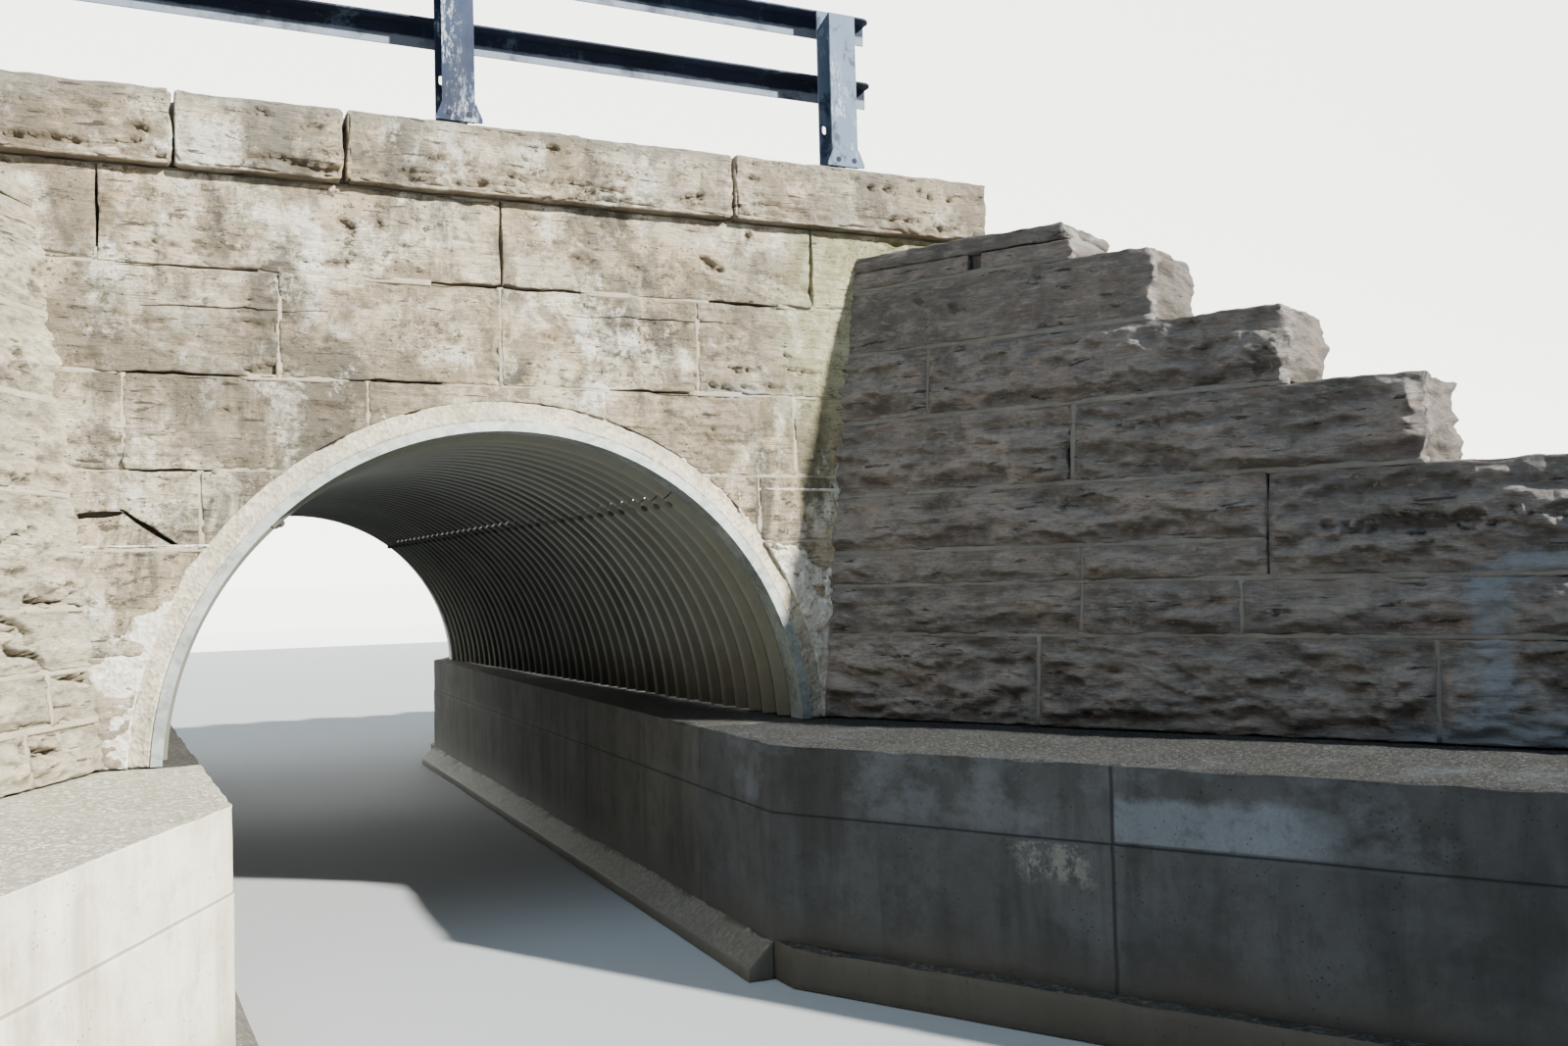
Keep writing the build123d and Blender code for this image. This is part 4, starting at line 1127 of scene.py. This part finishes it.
def headwall(side):
    sy = 1 if side == "front" else -1
    front = sy > 0
    step = (0.0102 if front else 0.030) * K
    place, flip = wall_place(sy)
    s0 = 100 if front else 900
    pile = Pile(side + "_headwall_stones")
    rects = []
    hook = (lambda w: scars(w, HEAD_SCARS)) if front else None
    for c in range(len(COURSES) - 1):
        v0, v1 = COURSES[c], COURSES[c + 1]
        js = HEAD_JOINTS[c]
        for a, b in zip(js[:-1], js[1:]):
            x = 0.0 if (a < 0 < b) else min(abs(a), abs(b))
            # stones that lie wholly inside the opening are not there
            far = max(math.hypot(u, LEDGE + v - ARCH_Z) for u in (a, b) for v in (v0, v1))
            if far < COLLAR_R:
                continue
            st = step if x < 1.45 else max(step * 1.5, 0.034)
            seed = s0 + 13 * len(rects)
            pile.block(a, b, v0, v1, WALL_T - 0.012, st, 0.007, sawn_face, seed, gap=0.0022,
                       chip=0.007, amount=1.0, hook=hook)
            rects.append((a, b, v0, v1, seed))
    me = pile.mesh(place, flip)
    y0, y1 = sorted((sy * (WALL_Y - 0.4), sy * (WALL_Y + WALL_T + 0.3)))
    shells = [cylinder_y(COLLAR_R - 0.004, y0, y1)]
    if front:
        for path, w, d in (
                (jag((-0.30, 1.831), (0.325, 1.833), 26, 5, 0.012), 0.022, 0.09),
                (jag((0.90, 1.832), (1.235, 1.829), 14, 6, 0.010), 0.020, 0.08),
                (jag((-1.500, 2.18), (-1.497, 1.88), 12, 7, 0.012), 0.014, 0.07),
                (jag((-0.014, 2.185), (-0.012, 1.835), 14, 8, 0.012), 0.019, 0.09),
                (jag((1.409, 2.17), (1.402, 1.832), 14, 9, 0.010), 0.026, 0.10),
                (jag((-1.60, 0.895), (-1.42, 0.918), 10, 10, 0.012), 0.030, 0.10),
                (jag((-1.430, 0.930), (-1.205, 0.772), 13, 11, 0.008), 0.024, 0.09),
                (jag((-1.42, 1.431), (-1.02, 1.429), 16, 12, 0.009), 0.014, 0.06),
                (jag((-0.62, 1.428), (-0.26, 1.434), 14, 13, 0.009), 0.013, 0.06),
                (jag((-1.40, 1.075), (-1.12, 1.071), 12, 14, 0.009), 0.014, 0.06),
                (jag((0.25, 1.730), (1.04, 1.741), 26, 15, 0.012), 0.007, 0.03),
                (jag((-1.36, 1.675), (-0.70, 1.69), 22, 16, 0.012), 0.007, 0.03),
                (jag((0.44, 1.43), (0.80, 1.425), 14, 17, 0.008), 0.012, 0.05),
                (jag((-1.44, 1.822), (-0.95, 1.836), 18, 18, 0.008), 0.009, 0.04)):
            shells.append(wedge(path, w, d, place))
    res = subtract(me, cutter("cut", shells), side + "_headwall_stones")
    n = len(res.vertices)
    co = np.zeros(n * 3, np.float32)
    res.vertices.foreach_get("co", co)
    co = co.reshape(-1, 3).astype(float)
    u, v, w = co[:, 0], co[:, 2] - LEDGE, sy * co[:, 1] - WALL_Y
    tone = np.zeros((n, 3))
    for a, b, v0, v1, seed in rects:
        m = (u >= a - 0.004) & (u <= b + 0.004) & (v >= v0 - 0.004) & (v <= v1 + 0.004)
        tone[m] = np.random.RandomState(seed * 7 + 3).rand(3)
    if "stone" in res.color_attributes:
        res.color_attributes.remove(res.color_attributes["stone"])
    # blue channel: how deep each point lies behind the face, for painted shade in recesses
    paint(res, tone, np.clip((w - 0.001) / 0.016, 0, 1))
    smooth(res)
    put(res, side + "_headwall_stones", SANDSTONE, "sandstone", side + "_headwall")

    # pointing in the joints, and the wall's heart behind
    core = Pile(side + "_headwall_mortar")
    k = s0 + 300
    open_beds = [(1.830, -0.30, 0.325), (1.830, 0.90, 1.235), (1.428, -1.42, -1.02), (1.428, -0.62, -0.26),
                 (1.073, -1.40, -1.12), (1.428, 0.44, 0.80), (1.830, -1.44, -0.95)] if front else []
    open_joints = [(-1.500, 1.88), (-0.014, 1.84), (1.407, 1.84)] if front else []
    for v in COURSES[1:-1]:
        h = arch_half(v)
        spans = [(-2.27, -h), (h, 2.27)] if h > 0 else [(-2.27, 2.27)]
        spans = cut_spans(spans, [(a, b) for ob, a, b in open_beds if ob == v])
        for p, q in spans:
            if q - p > 0.03:
                k += 1
                core.strip((p, v), (q, v), 0.011, 0.0035, k, amp=0.005)
    for c in range(len(COURSES) - 1):
        for x in HEAD_JOINTS[c][1:-1]:
            v0, v1 = COURSES[c], COURSES[c + 1]
            if math.hypot(x, LEDGE + v0 - ARCH_Z) < COLLAR_R - 0.01:
                v0 = ARCH_Z + math.sqrt(max(0, (COLLAR_R - 0.012) ** 2 - x * x)) - LEDGE
            for ox, a in open_joints:
                if abs(ox - x) < 0.01:
                    v1 = min(v1, a)
            if v1 - v0 > 0.03:
                k += 1
                core.strip((x, v0), (x, v1), 0.011, 0.0035, k, amp=0.005)
    for p, q in ((-HALF + .02, -arch_half(0.01)), (arch_half(0.01), HALF - .02)):
        core.block(p, q, 0.004, 2.181, WALL_T - 0.10, 0.25, 0.01, smooth_face, s0 + 7, w0=0.075)
    core.block(-1.2, 1.2, 1.30, 2.181, WALL_T - 0.12, 0.25, 0.01, smooth_face, s0 + 8, w0=0.078)
    cm = core.mesh(place, flip)
    cm = subtract(cm, cutter("cut2", [cylinder_y(COLLAR_R - 0.004, y0, y1)]), side + "_headwall_mortar")
    smooth(cm)
    put(cm, side + "_headwall_mortar", JOINT, "cement_mortar")


# ------------------------------------------------------------------ coping
COPING_JOINTS = [-2.350, -1.245, -0.630, 1.010, 2.335]


def coping(side):
    sy = 1 if side == "front" else -1
    front = sy > 0
    step = (0.0108 if front else 0.030) * K
    place, flip = coping_place(sy)
    s0 = 2000 if front else 2500
    pile = Pile(side + "_coping_slabs", 0.0, 0.03)
    r = 0.014
    ws = np.array([0, .3 * r, .65 * r, r, .030, .050, .075, .11, .17, .25, .34, .44, .54, .63,
                   COPING_D - .03, COPING_D - r, COPING_D - .5 * r, COPING_D])
    hook = (lambda w: scars(w, COPING_SCARS)) if front else None
    for k, (a, b) in enumerate(zip(COPING_JOINTS[:-1], COPING_JOINTS[1:])):
        pile.block(a, b, 0.0, COPING_T, COPING_D, step, r, coping_face, s0 + 31 * k, gap=0.0055,
                   chip=0.030, side=0.007, cap=False, ws=ws, hook=hook, end=0.25)
    me = pile.mesh(place, flip)
    put(me, side + "_coping_slabs", COPING, "coping_stone", side + "_coping")
    fill = Pile(side + "_coping_mortar")
    for k, x in enumerate(COPING_JOINTS[1:-1]):
        fill.block(x - 0.02, x + 0.02, 0.02, COPING_T - 0.02, COPING_D - 0.16, 0.03, 0.006, smooth_face,
                   s0 + 700 + k, w0=0.11)
    # the bed under the slabs
    fill.block(-2.27, 2.27, -0.010, 0.012, WALL_T - 0.06, 0.05, 0.004, mortar_face, s0 + 710, w0=0.085, gap=0)
    put(fill.mesh(place, flip), side + "_coping_mortar", JOINT, "coping_stone")


# -------------------------------------------------------------- wing walls
# height span over the ledge, joints along the wall, and the kind of face
WING_RIGHT = [
    (1.620, 1.920, [0.0, 1.535], "bed"),
    (1.310, 1.620, [0.0, 0.500, 2.060], "rock"), (0.980, 1.310, [0.0, 1.192, 2.540], "rock"),
    (0.725, 0.980, [0.0, 1.975], "rock"), (0.580, 0.725, [0.0, 1.236, 1.975], "rock"),
    (0.580, 0.980, [1.975, 3.060], "rock"), (0.367, 0.580, [0.0, 1.236, 1.875, 3.530], "rock"),
    (0.0, 0.367, [0.0, 1.05, 2.555, 4.060], "rock")]
WING_LEFT = [
    (1.620, 1.920, [0.0, 0.62, 1.535], "rock"),
    (1.310, 1.620, [0.0, 0.88, 2.060], "rock"), (0.980, 1.310, [0.0, 1.45, 2.540], "rock"),
    (0.580, 0.980, [0.0, 0.95, 2.05, 3.060], "rock"), (0.367, 0.580, [0.0, 0.62, 1.75, 3.530], "rock"),
    (0.185, 0.367, [0.0, 0.316, 1.30], "rock"), (0.0, 0.185, [0.0, 0.48, 1.30], "rock"),
    (0.0, 0.367, [1.30, 2.70, 4.060], "rock")]
WING_SCARS = {
    "right": [(1.10, 1.635, .10, .016, .03, 0), (0.62, 1.78, .030, .022, .02, 0), (0.45, 1.83, .02, .016, .02, 0),
              (1.02, 1.85, .024, .018, .02, 0), (1.966, 1.40, .045, .050, .03, 0),
              (1.50, 1.20, .09, .018, .03, .1), (1.15, .90, .030, .024, .03, 0), (1.62, 1.02, .06, .02, .02, 0),
              (1.75, 1.33, .05, .03, .02, .2), (2.5, .77, .30, .030, .035, .02), (2.95, .80, .16, .022, .03, 0),
              (1.3, .045, .06, .02, .02, 0)],
    "left": [(0.37, 1.01, .06, .03, .035, .2), (0.22, 1.10, .05, .02, .03, 0), (0.52, .93, .05, .018, .03, 0),
             (0.20, .36, .15, .014, .04, .05), (0.40, .19, .22, .013, .04, 0), (0.60, .52, .08, .016, .03, .1),
             (0.15, .66, .06, .014, .03, 0), (0.45, .70, .08, .016, .03, -.1), (0.30, 1.42, .06, .03, .03, .3),
             (0.62, 1.52, .05, .03, .03, 0), (0.14, 1.70, .05, .03, .03, .2), (0.5, 1.80, .08, .018, .03, 0)]}


LEFT_CRACKS = [
    [(0.42, 0.612), (0.20, 0.592), (0.135, 0.615), (0.095, 0.628)], [(0.20, 0.594), (0.03, 0.566)],
    [(0.62, 0.556), (0.50, 0.540), (0.41, 0.496)], [(0.56, 0.452), (0.37, 0.420), (0.335, 0.365), (0.25, 0.350)],
    [(0.25, 0.352), (0.02, 0.318)], [(0.50, 0.196), (0.30, 0.170), (0.06, 0.182)], [(0.53, 0.134), (0.33, 0.098)],
    [(0.56, 0.79), (0.42, 0.83), (0.33, 0.85)]]


def wing(side, hand):
    sy = 1 if side == "front" else -1
    sx = 1 if hand == "right" else -1
    front = sy > 0
    step = (0.0120 if front else 0.034) * K
    place, flip = wing_place(sx, sy)
    s0 = {("front", "right"): 3000, ("front", "left"): 4000,
          ("back", "right"): 5000, ("back", "left"): 6000}[(side, hand)]
    rows = WING_RIGHT if hand == "right" else WING_LEFT
    name = "%s_%s_wing" % (side, hand)
    pile = Pile(name + "_stones", -0.022, 0.016)
    mortar = Pile(name + "_mortar")
    # the right wing takes the shaded copy, the left the sunlit copy: painted light
    mat = ROCK_SHADED if hand == "right" else ROCK_LIT

    def hook(w):
        d = scars(w, WING_SCARS[hand])
        if hand == "left":
            d += cracks(w, LEFT_CRACKS, 0.011, 0.055)
        return d
    if not front:
        hook = None
    depth = WING_T - 0.02
    # the top stone lies in two thin layers; a piece of the lower one has dropped out
    gaps = [0.0, 0.690, 0.753, 1.190] if (front and hand == "right") else [0.0, 0.72, 0.722, 1.190]
    pile.block(gaps[0], gaps[1], 1.920, 2.002, depth, step, 0.006, rock_face, s0 + 1, gap=0.002,
               amount=0.40, side=0.005)
    pile.block(gaps[2], gaps[3], 1.920, 2.002, depth, step, 0.006, rock_face, s0 + 2, gap=0.002,
               amount=0.40, side=0.005, end=0.5, top_from=1.10)
    pile.block(0.0, 1.150, 2.002, 2.080, depth, step, 0.006, rock_face, s0 + 3, gap=0.002,
               amount=0.35, side=0.008, end=0.5, w0=0.003, top_from=0.0)
    k = 3
    for v0, v1, js, kind in rows:
        for i, (a, b) in enumerate(zip(js[:-1], js[1:])):
            k += 1
            seed = s0 + 19 * k
            st = step
            if hand == "left":
                st = max(step, 0.026) if a > 0.9 else step * (0.88 if front and b < 1.0 else 1.0)
            elif a > 3.4:
                st = max(step, 0.020)
            last = [e for e, t in STEPS if abs(e - b) < 0.01]
            above = [e for e, t in STEPS if t > v1 + 0.01]
            amount = 1.0 if kind == "rock" else 0.9
            if v1 - v0 < 0.16:
                amount *= 0.6
            elif v1 - v0 < 0.22:
                amount *= 0.8
            face = split_bed if kind == "bed" else rock_face if hand == "right" else worn_face
            pile.block(a, b, v0, v1, depth, st, 0.008, face, seed,
                       gap=0.003, amount=amount, side=0.006, chip=0.014, hook=hook,
                       end=0.8 if last else 0.0, top_from=max(above) - 0.05 if last else None)
    me = pile.mesh(place, flip)
    put(me, name + "_stones", mat, "rock_faced_stone", "%s_%s_wing_wall" % (side, hand))

    # mortar: one strip to a joint, and the wall's heart
    k = s0 + 500
    beds = {}
    for v0, v1, js, kind in rows:
        for v in (v0, v1):
            if 0.01 < v < 1.93:
                beds.setdefault(v, []).append((js[0], js[-1]))
        for x in js[1:-1]:
            k += 1
            mortar.strip((x, v0 + 0.004), (x, v1 - 0.004), 0.012, 0.004, k, amp=0.006)
    for v, spans in beds.items():
        lo = min(s[0] for s in spans)
        lim = [e for e, t in STEPS if t >= v + 0.02]
        hi = min(max(s[1] for s in spans), max(lim) if lim else 9)
        k += 1
        mortar.strip((lo, v), (hi - 0.01, v), 0.012, 0.004, k, amp=0.007)
    prev = 0.0
    for k2, (endu, top) in enumerate(reversed(STEPS)):
        mortar.block(0.0, endu - 0.05, prev, top - 0.015, WING_T - 0.14, 0.30, 0.01, smooth_face,
                     s0 + 800 + k2, w0=0.075, gap=0.0)
        prev = top - 0.03
    if hand == "right":
        # mortar in the corner with the headwall
        mortar.strip((0.010, 0.30), (0.012, 1.90), 0.020, -0.006, s0 + 900, amp=0.010, step=0.02)
    put(mortar.mesh(place, flip), name + "_mortar", WINGJOINT if hand == "right" else JOINT, "cement_mortar")


# --------------------------------------------------------- collar and mortar
def collar(side):
    """Cement round the band: a smooth strip beside the band, rough on the haunches."""
    sy = 1 if side == "front" else -1
    front = sy > 0
    s0 = 7000 if front else 7500
    a0 = math.asin((LEDGE - ARCH_Z) / 1.38)
    step = (0.014 if front else 0.035) * K
    r_in, r_out = ARCH_R + 0.0005, COLLAR_R + 0.004
    arc = (math.pi - 2 * a0) * r_out
    us = np.linspace(0, arc, int(arc / step))
    vs = np.linspace(0, 1, 9 if front else 5)
    ws = np.array([0, 0.004, 0.012, 0.05, 0.586])
    p, quads, back = lattice(us, vs, ws, cap=False)
    th = a0 + p[:, 0] / arc * (math.pi - 2 * a0)
    edge = 0.030 * fbm(np.stack([th * 8, th * 0, th * 0 + 3], 1), 4, s0) - 0.004
    rr = r_in + (r_out - r_in) * p[:, 1] + np.where(p[:, 2] < 0.02, edge * p[:, 1] ** 2, 0)
    q = np.stack([rr * np.cos(th), rr * np.sin(th), p[:, 2] * 0], 1)
    rough = sstep(0.80, 0.35, np.sin(th))             # haunches
    d = smooth_face(q, None, s0 + 2, 1.6) + (0.25 + 0.5 * rough) * mortar_face(q, None, s0 + 4, 1.0) * sstep(0.0, 0.3, p[:, 1])
    w = p[:, 2] + np.where(p[:, 2] < 0.02, 0.002 - 0.020 * (1 - p[:, 1]) ** 2, 0.0)
    w = np.maximum(w - d * (p[:, 2] < 0.02), -0.016)
    y = sy * (WALL_Y + w + 0.002)
    pts = np.stack([rr * np.cos(th), y, np.maximum(ARCH_Z + rr * np.sin(th), LEDGE + 0.001)], 1)
    me = bpy.data.meshes.new(side + "_collar")
    me.from_pydata([tuple(a) for a in pts], [], [tuple(int(i) for i in a) for a in quads])
    me.update()
    fix_normals(me)
    smooth(me)
    put(me, side + "_collar", SLURRY, "cement_mortar", side + "_cement_collar")

    # render over the haunch stones
    place, flip = wall_place(sy)
    pl = Pile(side + "_haunch_mortar")

    def mask_right(w):
        u, v = w[:, 0], w[:, 1]
        r = np.hypot(u, v + LEDGE - ARCH_Z)
        n = 0.11 * fbm(w * 4.5, 4, s0 + 9)
        top = 0.84 + n - 0.9 * np.clip(r - 1.44, 0, 1)
        m = sstep(0.0, 0.035, top - v)
        return -0.050 * (1 - m) + 0.004

    def mask_left(w):
        u, v = -w[:, 0], w[:, 1]
        r = np.hypot(u, v + LEDGE - ARCH_Z)
        n = 0.09 * fbm(w * 4.5, 4, s0 + 12)
        top = 0.60 + n - 0.6 * np.clip(r - 1.44, 0, 1)
        m = sstep(0.0, 0.035, top - v) * sstep(0.0, 0.035, 1.55 + n - u)
        return -0.050 * (1 - m) + 0.004

    st = (0.0115 if front else 0.030) * K
    ws = np.array([0, .0012, .0026, .004, .07, .08])
    pl.block(1.02, 1.66, 0.002, 1.02, 0.08, st, 0.004, mortar_face, s0 + 20, w0=-0.005, gap=0,
             hook=mask_right, side=0, chip=0, ws=ws)
    pl.block(-1.70, -1.02, 0.002, 0.80, 0.08, st, 0.004, mortar_face, s0 + 40, w0=-0.005, gap=0,
             hook=mask_left, side=0, chip=0, ws=ws)
    me = pl.mesh(place, flip)
    ys = sorted((sy * (WALL_Y - 0.4), sy * (WALL_Y + WALL_T)))
    me = subtract(me, cutter("cut3", [cylinder_y(COLLAR_R - 0.012, *ys)]), side + "_haunch_mortar")
    smooth(me)
    put(me, side + "_haunch_mortar", MORTAR, "cement_mortar")


def fix_normals(me):
    bm = bmesh.new()
    bm.from_mesh(me)
    bmesh.ops.recalc_face_normals(bm, faces=bm.faces)
    bm.to_mesh(me)
    bm.free()


# -------------------------------------------------------- cast concrete
def cast(node, seed, material, slot, along, steps, bevel=0.009, line=True, chips=0.010):
    """The CAD wall with small bevels, cut into a fine grid and made slightly wavy."""
    src = frame["nodes"][node]
    bm = bmesh.new()
    bm.from_mesh(src.data)
    bmesh.ops.remove_doubles(bm, verts=bm.verts, dist=1e-5)
    bmesh.ops.dissolve_limit(bm, angle_limit=0.02, verts=bm.verts, edges=bm.edges)
    sharp = [e for e in bm.edges if len(e.link_faces) == 2 and e.calc_face_angle(0) > 0.3]
    bmesh.ops.bevel(bm, geom=sharp, offset=bevel, offset_type="OFFSET", segments=2, profile=0.5,
                    affect="EDGES", clamp_overlap=True)
    bmesh.ops.triangulate(bm, faces=[f for f in bm.faces if len(f.verts) > 4])
    bmesh.ops.recalc_face_normals(bm, faces=bm.faces)
    lo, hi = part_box(node)
    co = np.array([v.co[:] for v in bm.verts])
    a = np.array([along[0], along[1], 0.0])
    b = np.array([-along[1], along[0], 0.0])
    planes = []
    for axis, st in ((a, steps[0]), (b, steps[1])):
        t = co @ axis
        n = max(1, int((t.max() - t.min()) / (st * K)))
        planes += [(axis, x) for x in np.linspace(t.min(), t.max(), n + 1)[1:-1]]
    zs = list(np.linspace(lo.z, hi.z, max(2, int((hi.z - lo.z) / (steps[2] * K))) + 1)[1:-1])
    if line:
        zs = [z for z in zs if abs(z - 0.6205) > 0.012] + [0.6195, 0.6215]
    planes += [(np.array([0, 0, 1.0]), z) for z in zs]
    for axis, x in planes:
        geom = bm.verts[:] + bm.edges[:] + bm.faces[:]
        bmesh.ops.bisect_plane(bm, geom=geom, dist=1e-6, plane_co=Vector(axis * x), plane_no=Vector(axis))
    bm.normal_update()
    bm.verts.ensure_lookup_table()
    co = np.array([v.co[:] for v in bm.verts])
    nr = np.array([v.normal[:] for v in bm.verts])
    d = 0.0030 * fbm(co * np.array([1.3, 1.3, 2.6]), 3, seed) + 0.0010 * fbm(co * 14, 2, seed + 5)
    side = np.abs(nr[:, 2]) < 0.5
    if line:
        d += np.where(side & (co[:, 2] > 0.6205), -0.004, 0.0)
    worn = (np.abs(nr[:, 2]) < 0.95) & (np.abs(nr[:, 2]) > 0.2) & (co[:, 2] > hi.z - 0.05)
    d -= worn * chips * sstep(0.0, 0.5, noise(co * 6.5, seed + 9))
    top = nr[:, 2] > 0.9
    d += np.where(top, 0.004 * fbm(co * 9, 3, seed + 11) - 0.003, 0)
    co2 = co + nr * d[:, None]
    co2[:, 0] = np.clip(co2[:, 0], lo.x, hi.x)
    co2[:, 1] = np.clip(co2[:, 1], lo.y, hi.y)
    co2[:, 2] = np.clip(co2[:, 2], lo.z, hi.z)
    for v, c in zip(bm.verts, co2):
        v.co = c
    for f in bm.faces:
        f.smooth = True
    me = bpy.data.meshes.new(node + "_cast")
    bm.to_mesh(me)
    bm.free()
    put(me, node + "_cast", material, slot, node)


# ---------------------------------------------------------------- fixings
def bolt_head(bm, centre, axis, radius, height, sides=6, dome=False, turn=0.0):
    """Hexagonal head with a chamfer, or a low dome, standing on a face."""
    z = axis.normalized()
    x = z.orthogonal().normalized()
    y = z.cross(x)
    rings = []
    prof = ((1.0, 0.0), (1.0, height * 0.75), (0.86, height)) if not dome else \
        ((1.0, 0.0), (0.93, height * 0.45), (0.62, height * 0.85), (0.2, height))
    for k, h in prof:
        ring = []
        for i in range(sides):
            t = 2 * math.pi * i / sides + turn
            ring.append(bm.verts.new(centre + z * h + (x * math.cos(t) + y * math.sin(t)) * radius * k))
        rings.append(ring)
    for a, b in zip(rings[:-1], rings[1:]):
        for i in range(sides):
            j = (i + 1) % sides
            bm.faces.new((a[i], a[j], b[j], b[i]))
    bm.faces.new(rings[-1])
    bm.faces.new(rings[0][::-1])


def bolts():
    # seam bolts inside the barrel, two to each wave
    bm = bmesh.new()
    pitch, waves = 0.1524, 42
    for ang in (54.5, 134.0):
        for off in (-1.6, 1.6):
            t = math.radians(ang + off)
            for i in range(waves):
                y = -waves * pitch / 2 + pitch * (i + 0.5 + (0.0 if off < 0 else 0.5))
                if y > waves * pitch / 2 - 0.05:
                    continue
                r = 1.300 - 0.003 + (0.025 if off > 0 else -0.025)
                c = Vector((r * math.cos(t), y, ARCH_Z + r * math.sin(t)))
                bolt_head(bm, c, Vector((-math.cos(t), 0, -math.sin(t))), 0.017, 0.015, 8, True)
    me = bpy.data.meshes.new("seam_bolts")
    bm.to_mesh(me)
    bm.free()
    put(me, "seam_bolts", BOLT, "weathered_steel")
    # railing: two bolts through each foot plate
    bm = bmesh.new()
    for sy in (1, -1):
        for x in POSTS:
            for dx in (-0.040, 0.040):
                c = Vector((x + dx, sy * (-3.365), 3.352 + 0.030))
                bolt_head(bm, c, Vector((0, -sy, 0)), 0.0125, 0.0019, 12, False, 0.3)
    me = bpy.data.meshes.new("railing_bolts")
    bm.to_mesh(me)
    bm.free()
    put(me, "railing_bolts", BLACK, "railing_paint")


# ------------------------------------------------------------------ build
for side in ("front", "back"):
    headwall(side)
    coping(side)
    for hand in ("right", "left"):
        wing(side, hand)
    collar(side)

for side, sy in (("front", 1), ("back", -1)):
    f = 1.0 if sy > 0 else 1.8
    for hand, sx in (("right", 1), ("left", -1)):
        d = (sx * SA, -sy * CA)
        # right toe walls take the shaded concrete copy, left ones the sunlit copy: painted light
        mat = CONCRETE_SHADED if hand == "right" else CONCRETE_LIT
        sd = 8000 + (0 if sy > 0 else 400) + (0 if sx > 0 else 200)
        cast("%s_%s_toe_wall" % (side, hand), sd, mat, "concrete", d, (0.045 * f, 0.07 * f, 0.03 * f))
        # right footings take the darker copy: painted shade
        cast("%s_%s_toe_footing" % (side, hand), sd + 50, FOOTING_SHADED if hand == "right" else FOOTING, "footing_concrete", d,
             (0.06 * f, 0.05 * f, 0.03 * f), 0.006, False)
for hand, sx in (("right", 1), ("left", -1)):
    cast(hand + "_stem_wall", 8800 + sx, STEM, "concrete", (0, 1), (0.06, 0.09, 0.035))
    cast(hand + "_stem_foot", 8850 + sx, FOOTING, "footing_concrete", (0, 1), (0.07, 0.03, 0.03), 0.005, False)
bolts()

by_slot = {"galvanised_band": BAND, "weathered_steel": LINER, "railing_paint": RAIL,
           "sandstone": SANDSTONE, "coping_stone": COPING, "rock_faced_stone": ROCK_SHADED,
           "cement_mortar": MORTAR, "concrete": CONCRETE_SHADED, "footing_concrete": FOOTING}
slots = {s["node"]: s["material_slot"] for s in frame["record"]["subparts"]}
for name, o in frame["nodes"].items():
    mat = by_slot[slots[name]]
    if name.endswith("_posts") or name.endswith("_clips"):
        mat = POST
    if not o.data.materials:
        o.data.materials.append(mat)
    for s in o.material_slots:
        s.material = mat

# ------------------------------------------------------------------ stage
floor = bpy.data.meshes.new("floor")
bm = bmesh.new()
bmesh.ops.create_grid(bm, x_segments=24, y_segments=24, size=60)
bm.to_mesh(floor)
bm.free()
fo = bpy.data.objects.new("floor", floor)
bpy.context.scene.collection.objects.link(fo)
fo.location = (0, 0, -0.001)
floor.materials.append(stage_mat("floor_paint", (0.325, 0.34, 0.36)))

bm = bmesh.new()
prof = [(30.0, -0.001), (36, 0.3), (40, 1.6), (42, 4.5), (42.5, 12), (42.5, 40)]
rows = []
for x in np.linspace(-90, 90, 19):
    rows.append([bm.verts.new((x, y, z)) for y, z in prof])
for a, b in zip(rows[:-1], rows[1:]):
    for i in range(len(prof) - 1):
        bm.faces.new((a[i], b[i], b[i + 1], a[i + 1]))
back = bpy.data.meshes.new("backdrop")
bm.to_mesh(back)
bm.free()
bo = bpy.data.objects.new("backdrop", back)
bpy.context.scene.collection.objects.link(bo)
back.materials.append(stage_mat("backdrop_paint", (0.86, 0.865, 0.87)))

# ------------------------------------------------------------------ light
world = bpy.data.worlds.new("studio")
bpy.context.scene.world = world
world.use_nodes = True
bg = world.node_tree.nodes["Background"]
bg.inputs[0].default_value = (0.58, 0.79, 1.0, 1)
bg.inputs[1].default_value = 0.29


def sun(name, az, el, energy, angle, color):
    """az: degrees to the right of straight in front of the headwall."""
    l = bpy.data.lights.new(name, "SUN")
    l.energy = energy
    l.angle = math.radians(angle)
    l.color = color
    o = bpy.data.objects.new(name, l)
    a, e = math.radians(az), math.radians(el)
    d = Vector((math.sin(a) * math.cos(e), -math.cos(a) * math.cos(e), math.sin(e)))
    o.rotation_mode = "QUATERNION"
    o.rotation_quaternion = d.to_track_quat("Z", "Y")
    o.location = d * 20
    bpy.context.scene.collection.objects.link(o)


sun("key", 37, 29, 19.5, 2, (1.0, 0.985, 0.885))
sun("sky", -45, 62, 1.2, 40, (0.62, 0.82, 1.0))

# ----------------------------------------------------------------- camera
cam_data = bpy.data.cameras.new("camera")
cam = bpy.data.objects.new("camera", cam_data)
bpy.context.scene.collection.objects.link(cam)
cam_data.sensor_fit = "HORIZONTAL"
cam_data.sensor_width = 36.0
cam_data.lens = 33.042
cam_data.clip_start = 0.05
cam_data.clip_end = 500
right = Vector((0.89634245, -0.4426451, -0.02520961))
up = Vector((0.00584623, -0.04505496, 0.9989674))
fwd = Vector((0.44332385, 0.89556427, 0.03779687))
rot = Matrix((right, up, -fwd)).transposed()
cam.matrix_world = Matrix.Translation(Vector((-1.58413, -9.00525, 1.5))) @ rot.to_4x4()
bpy.context.scene.camera = cam

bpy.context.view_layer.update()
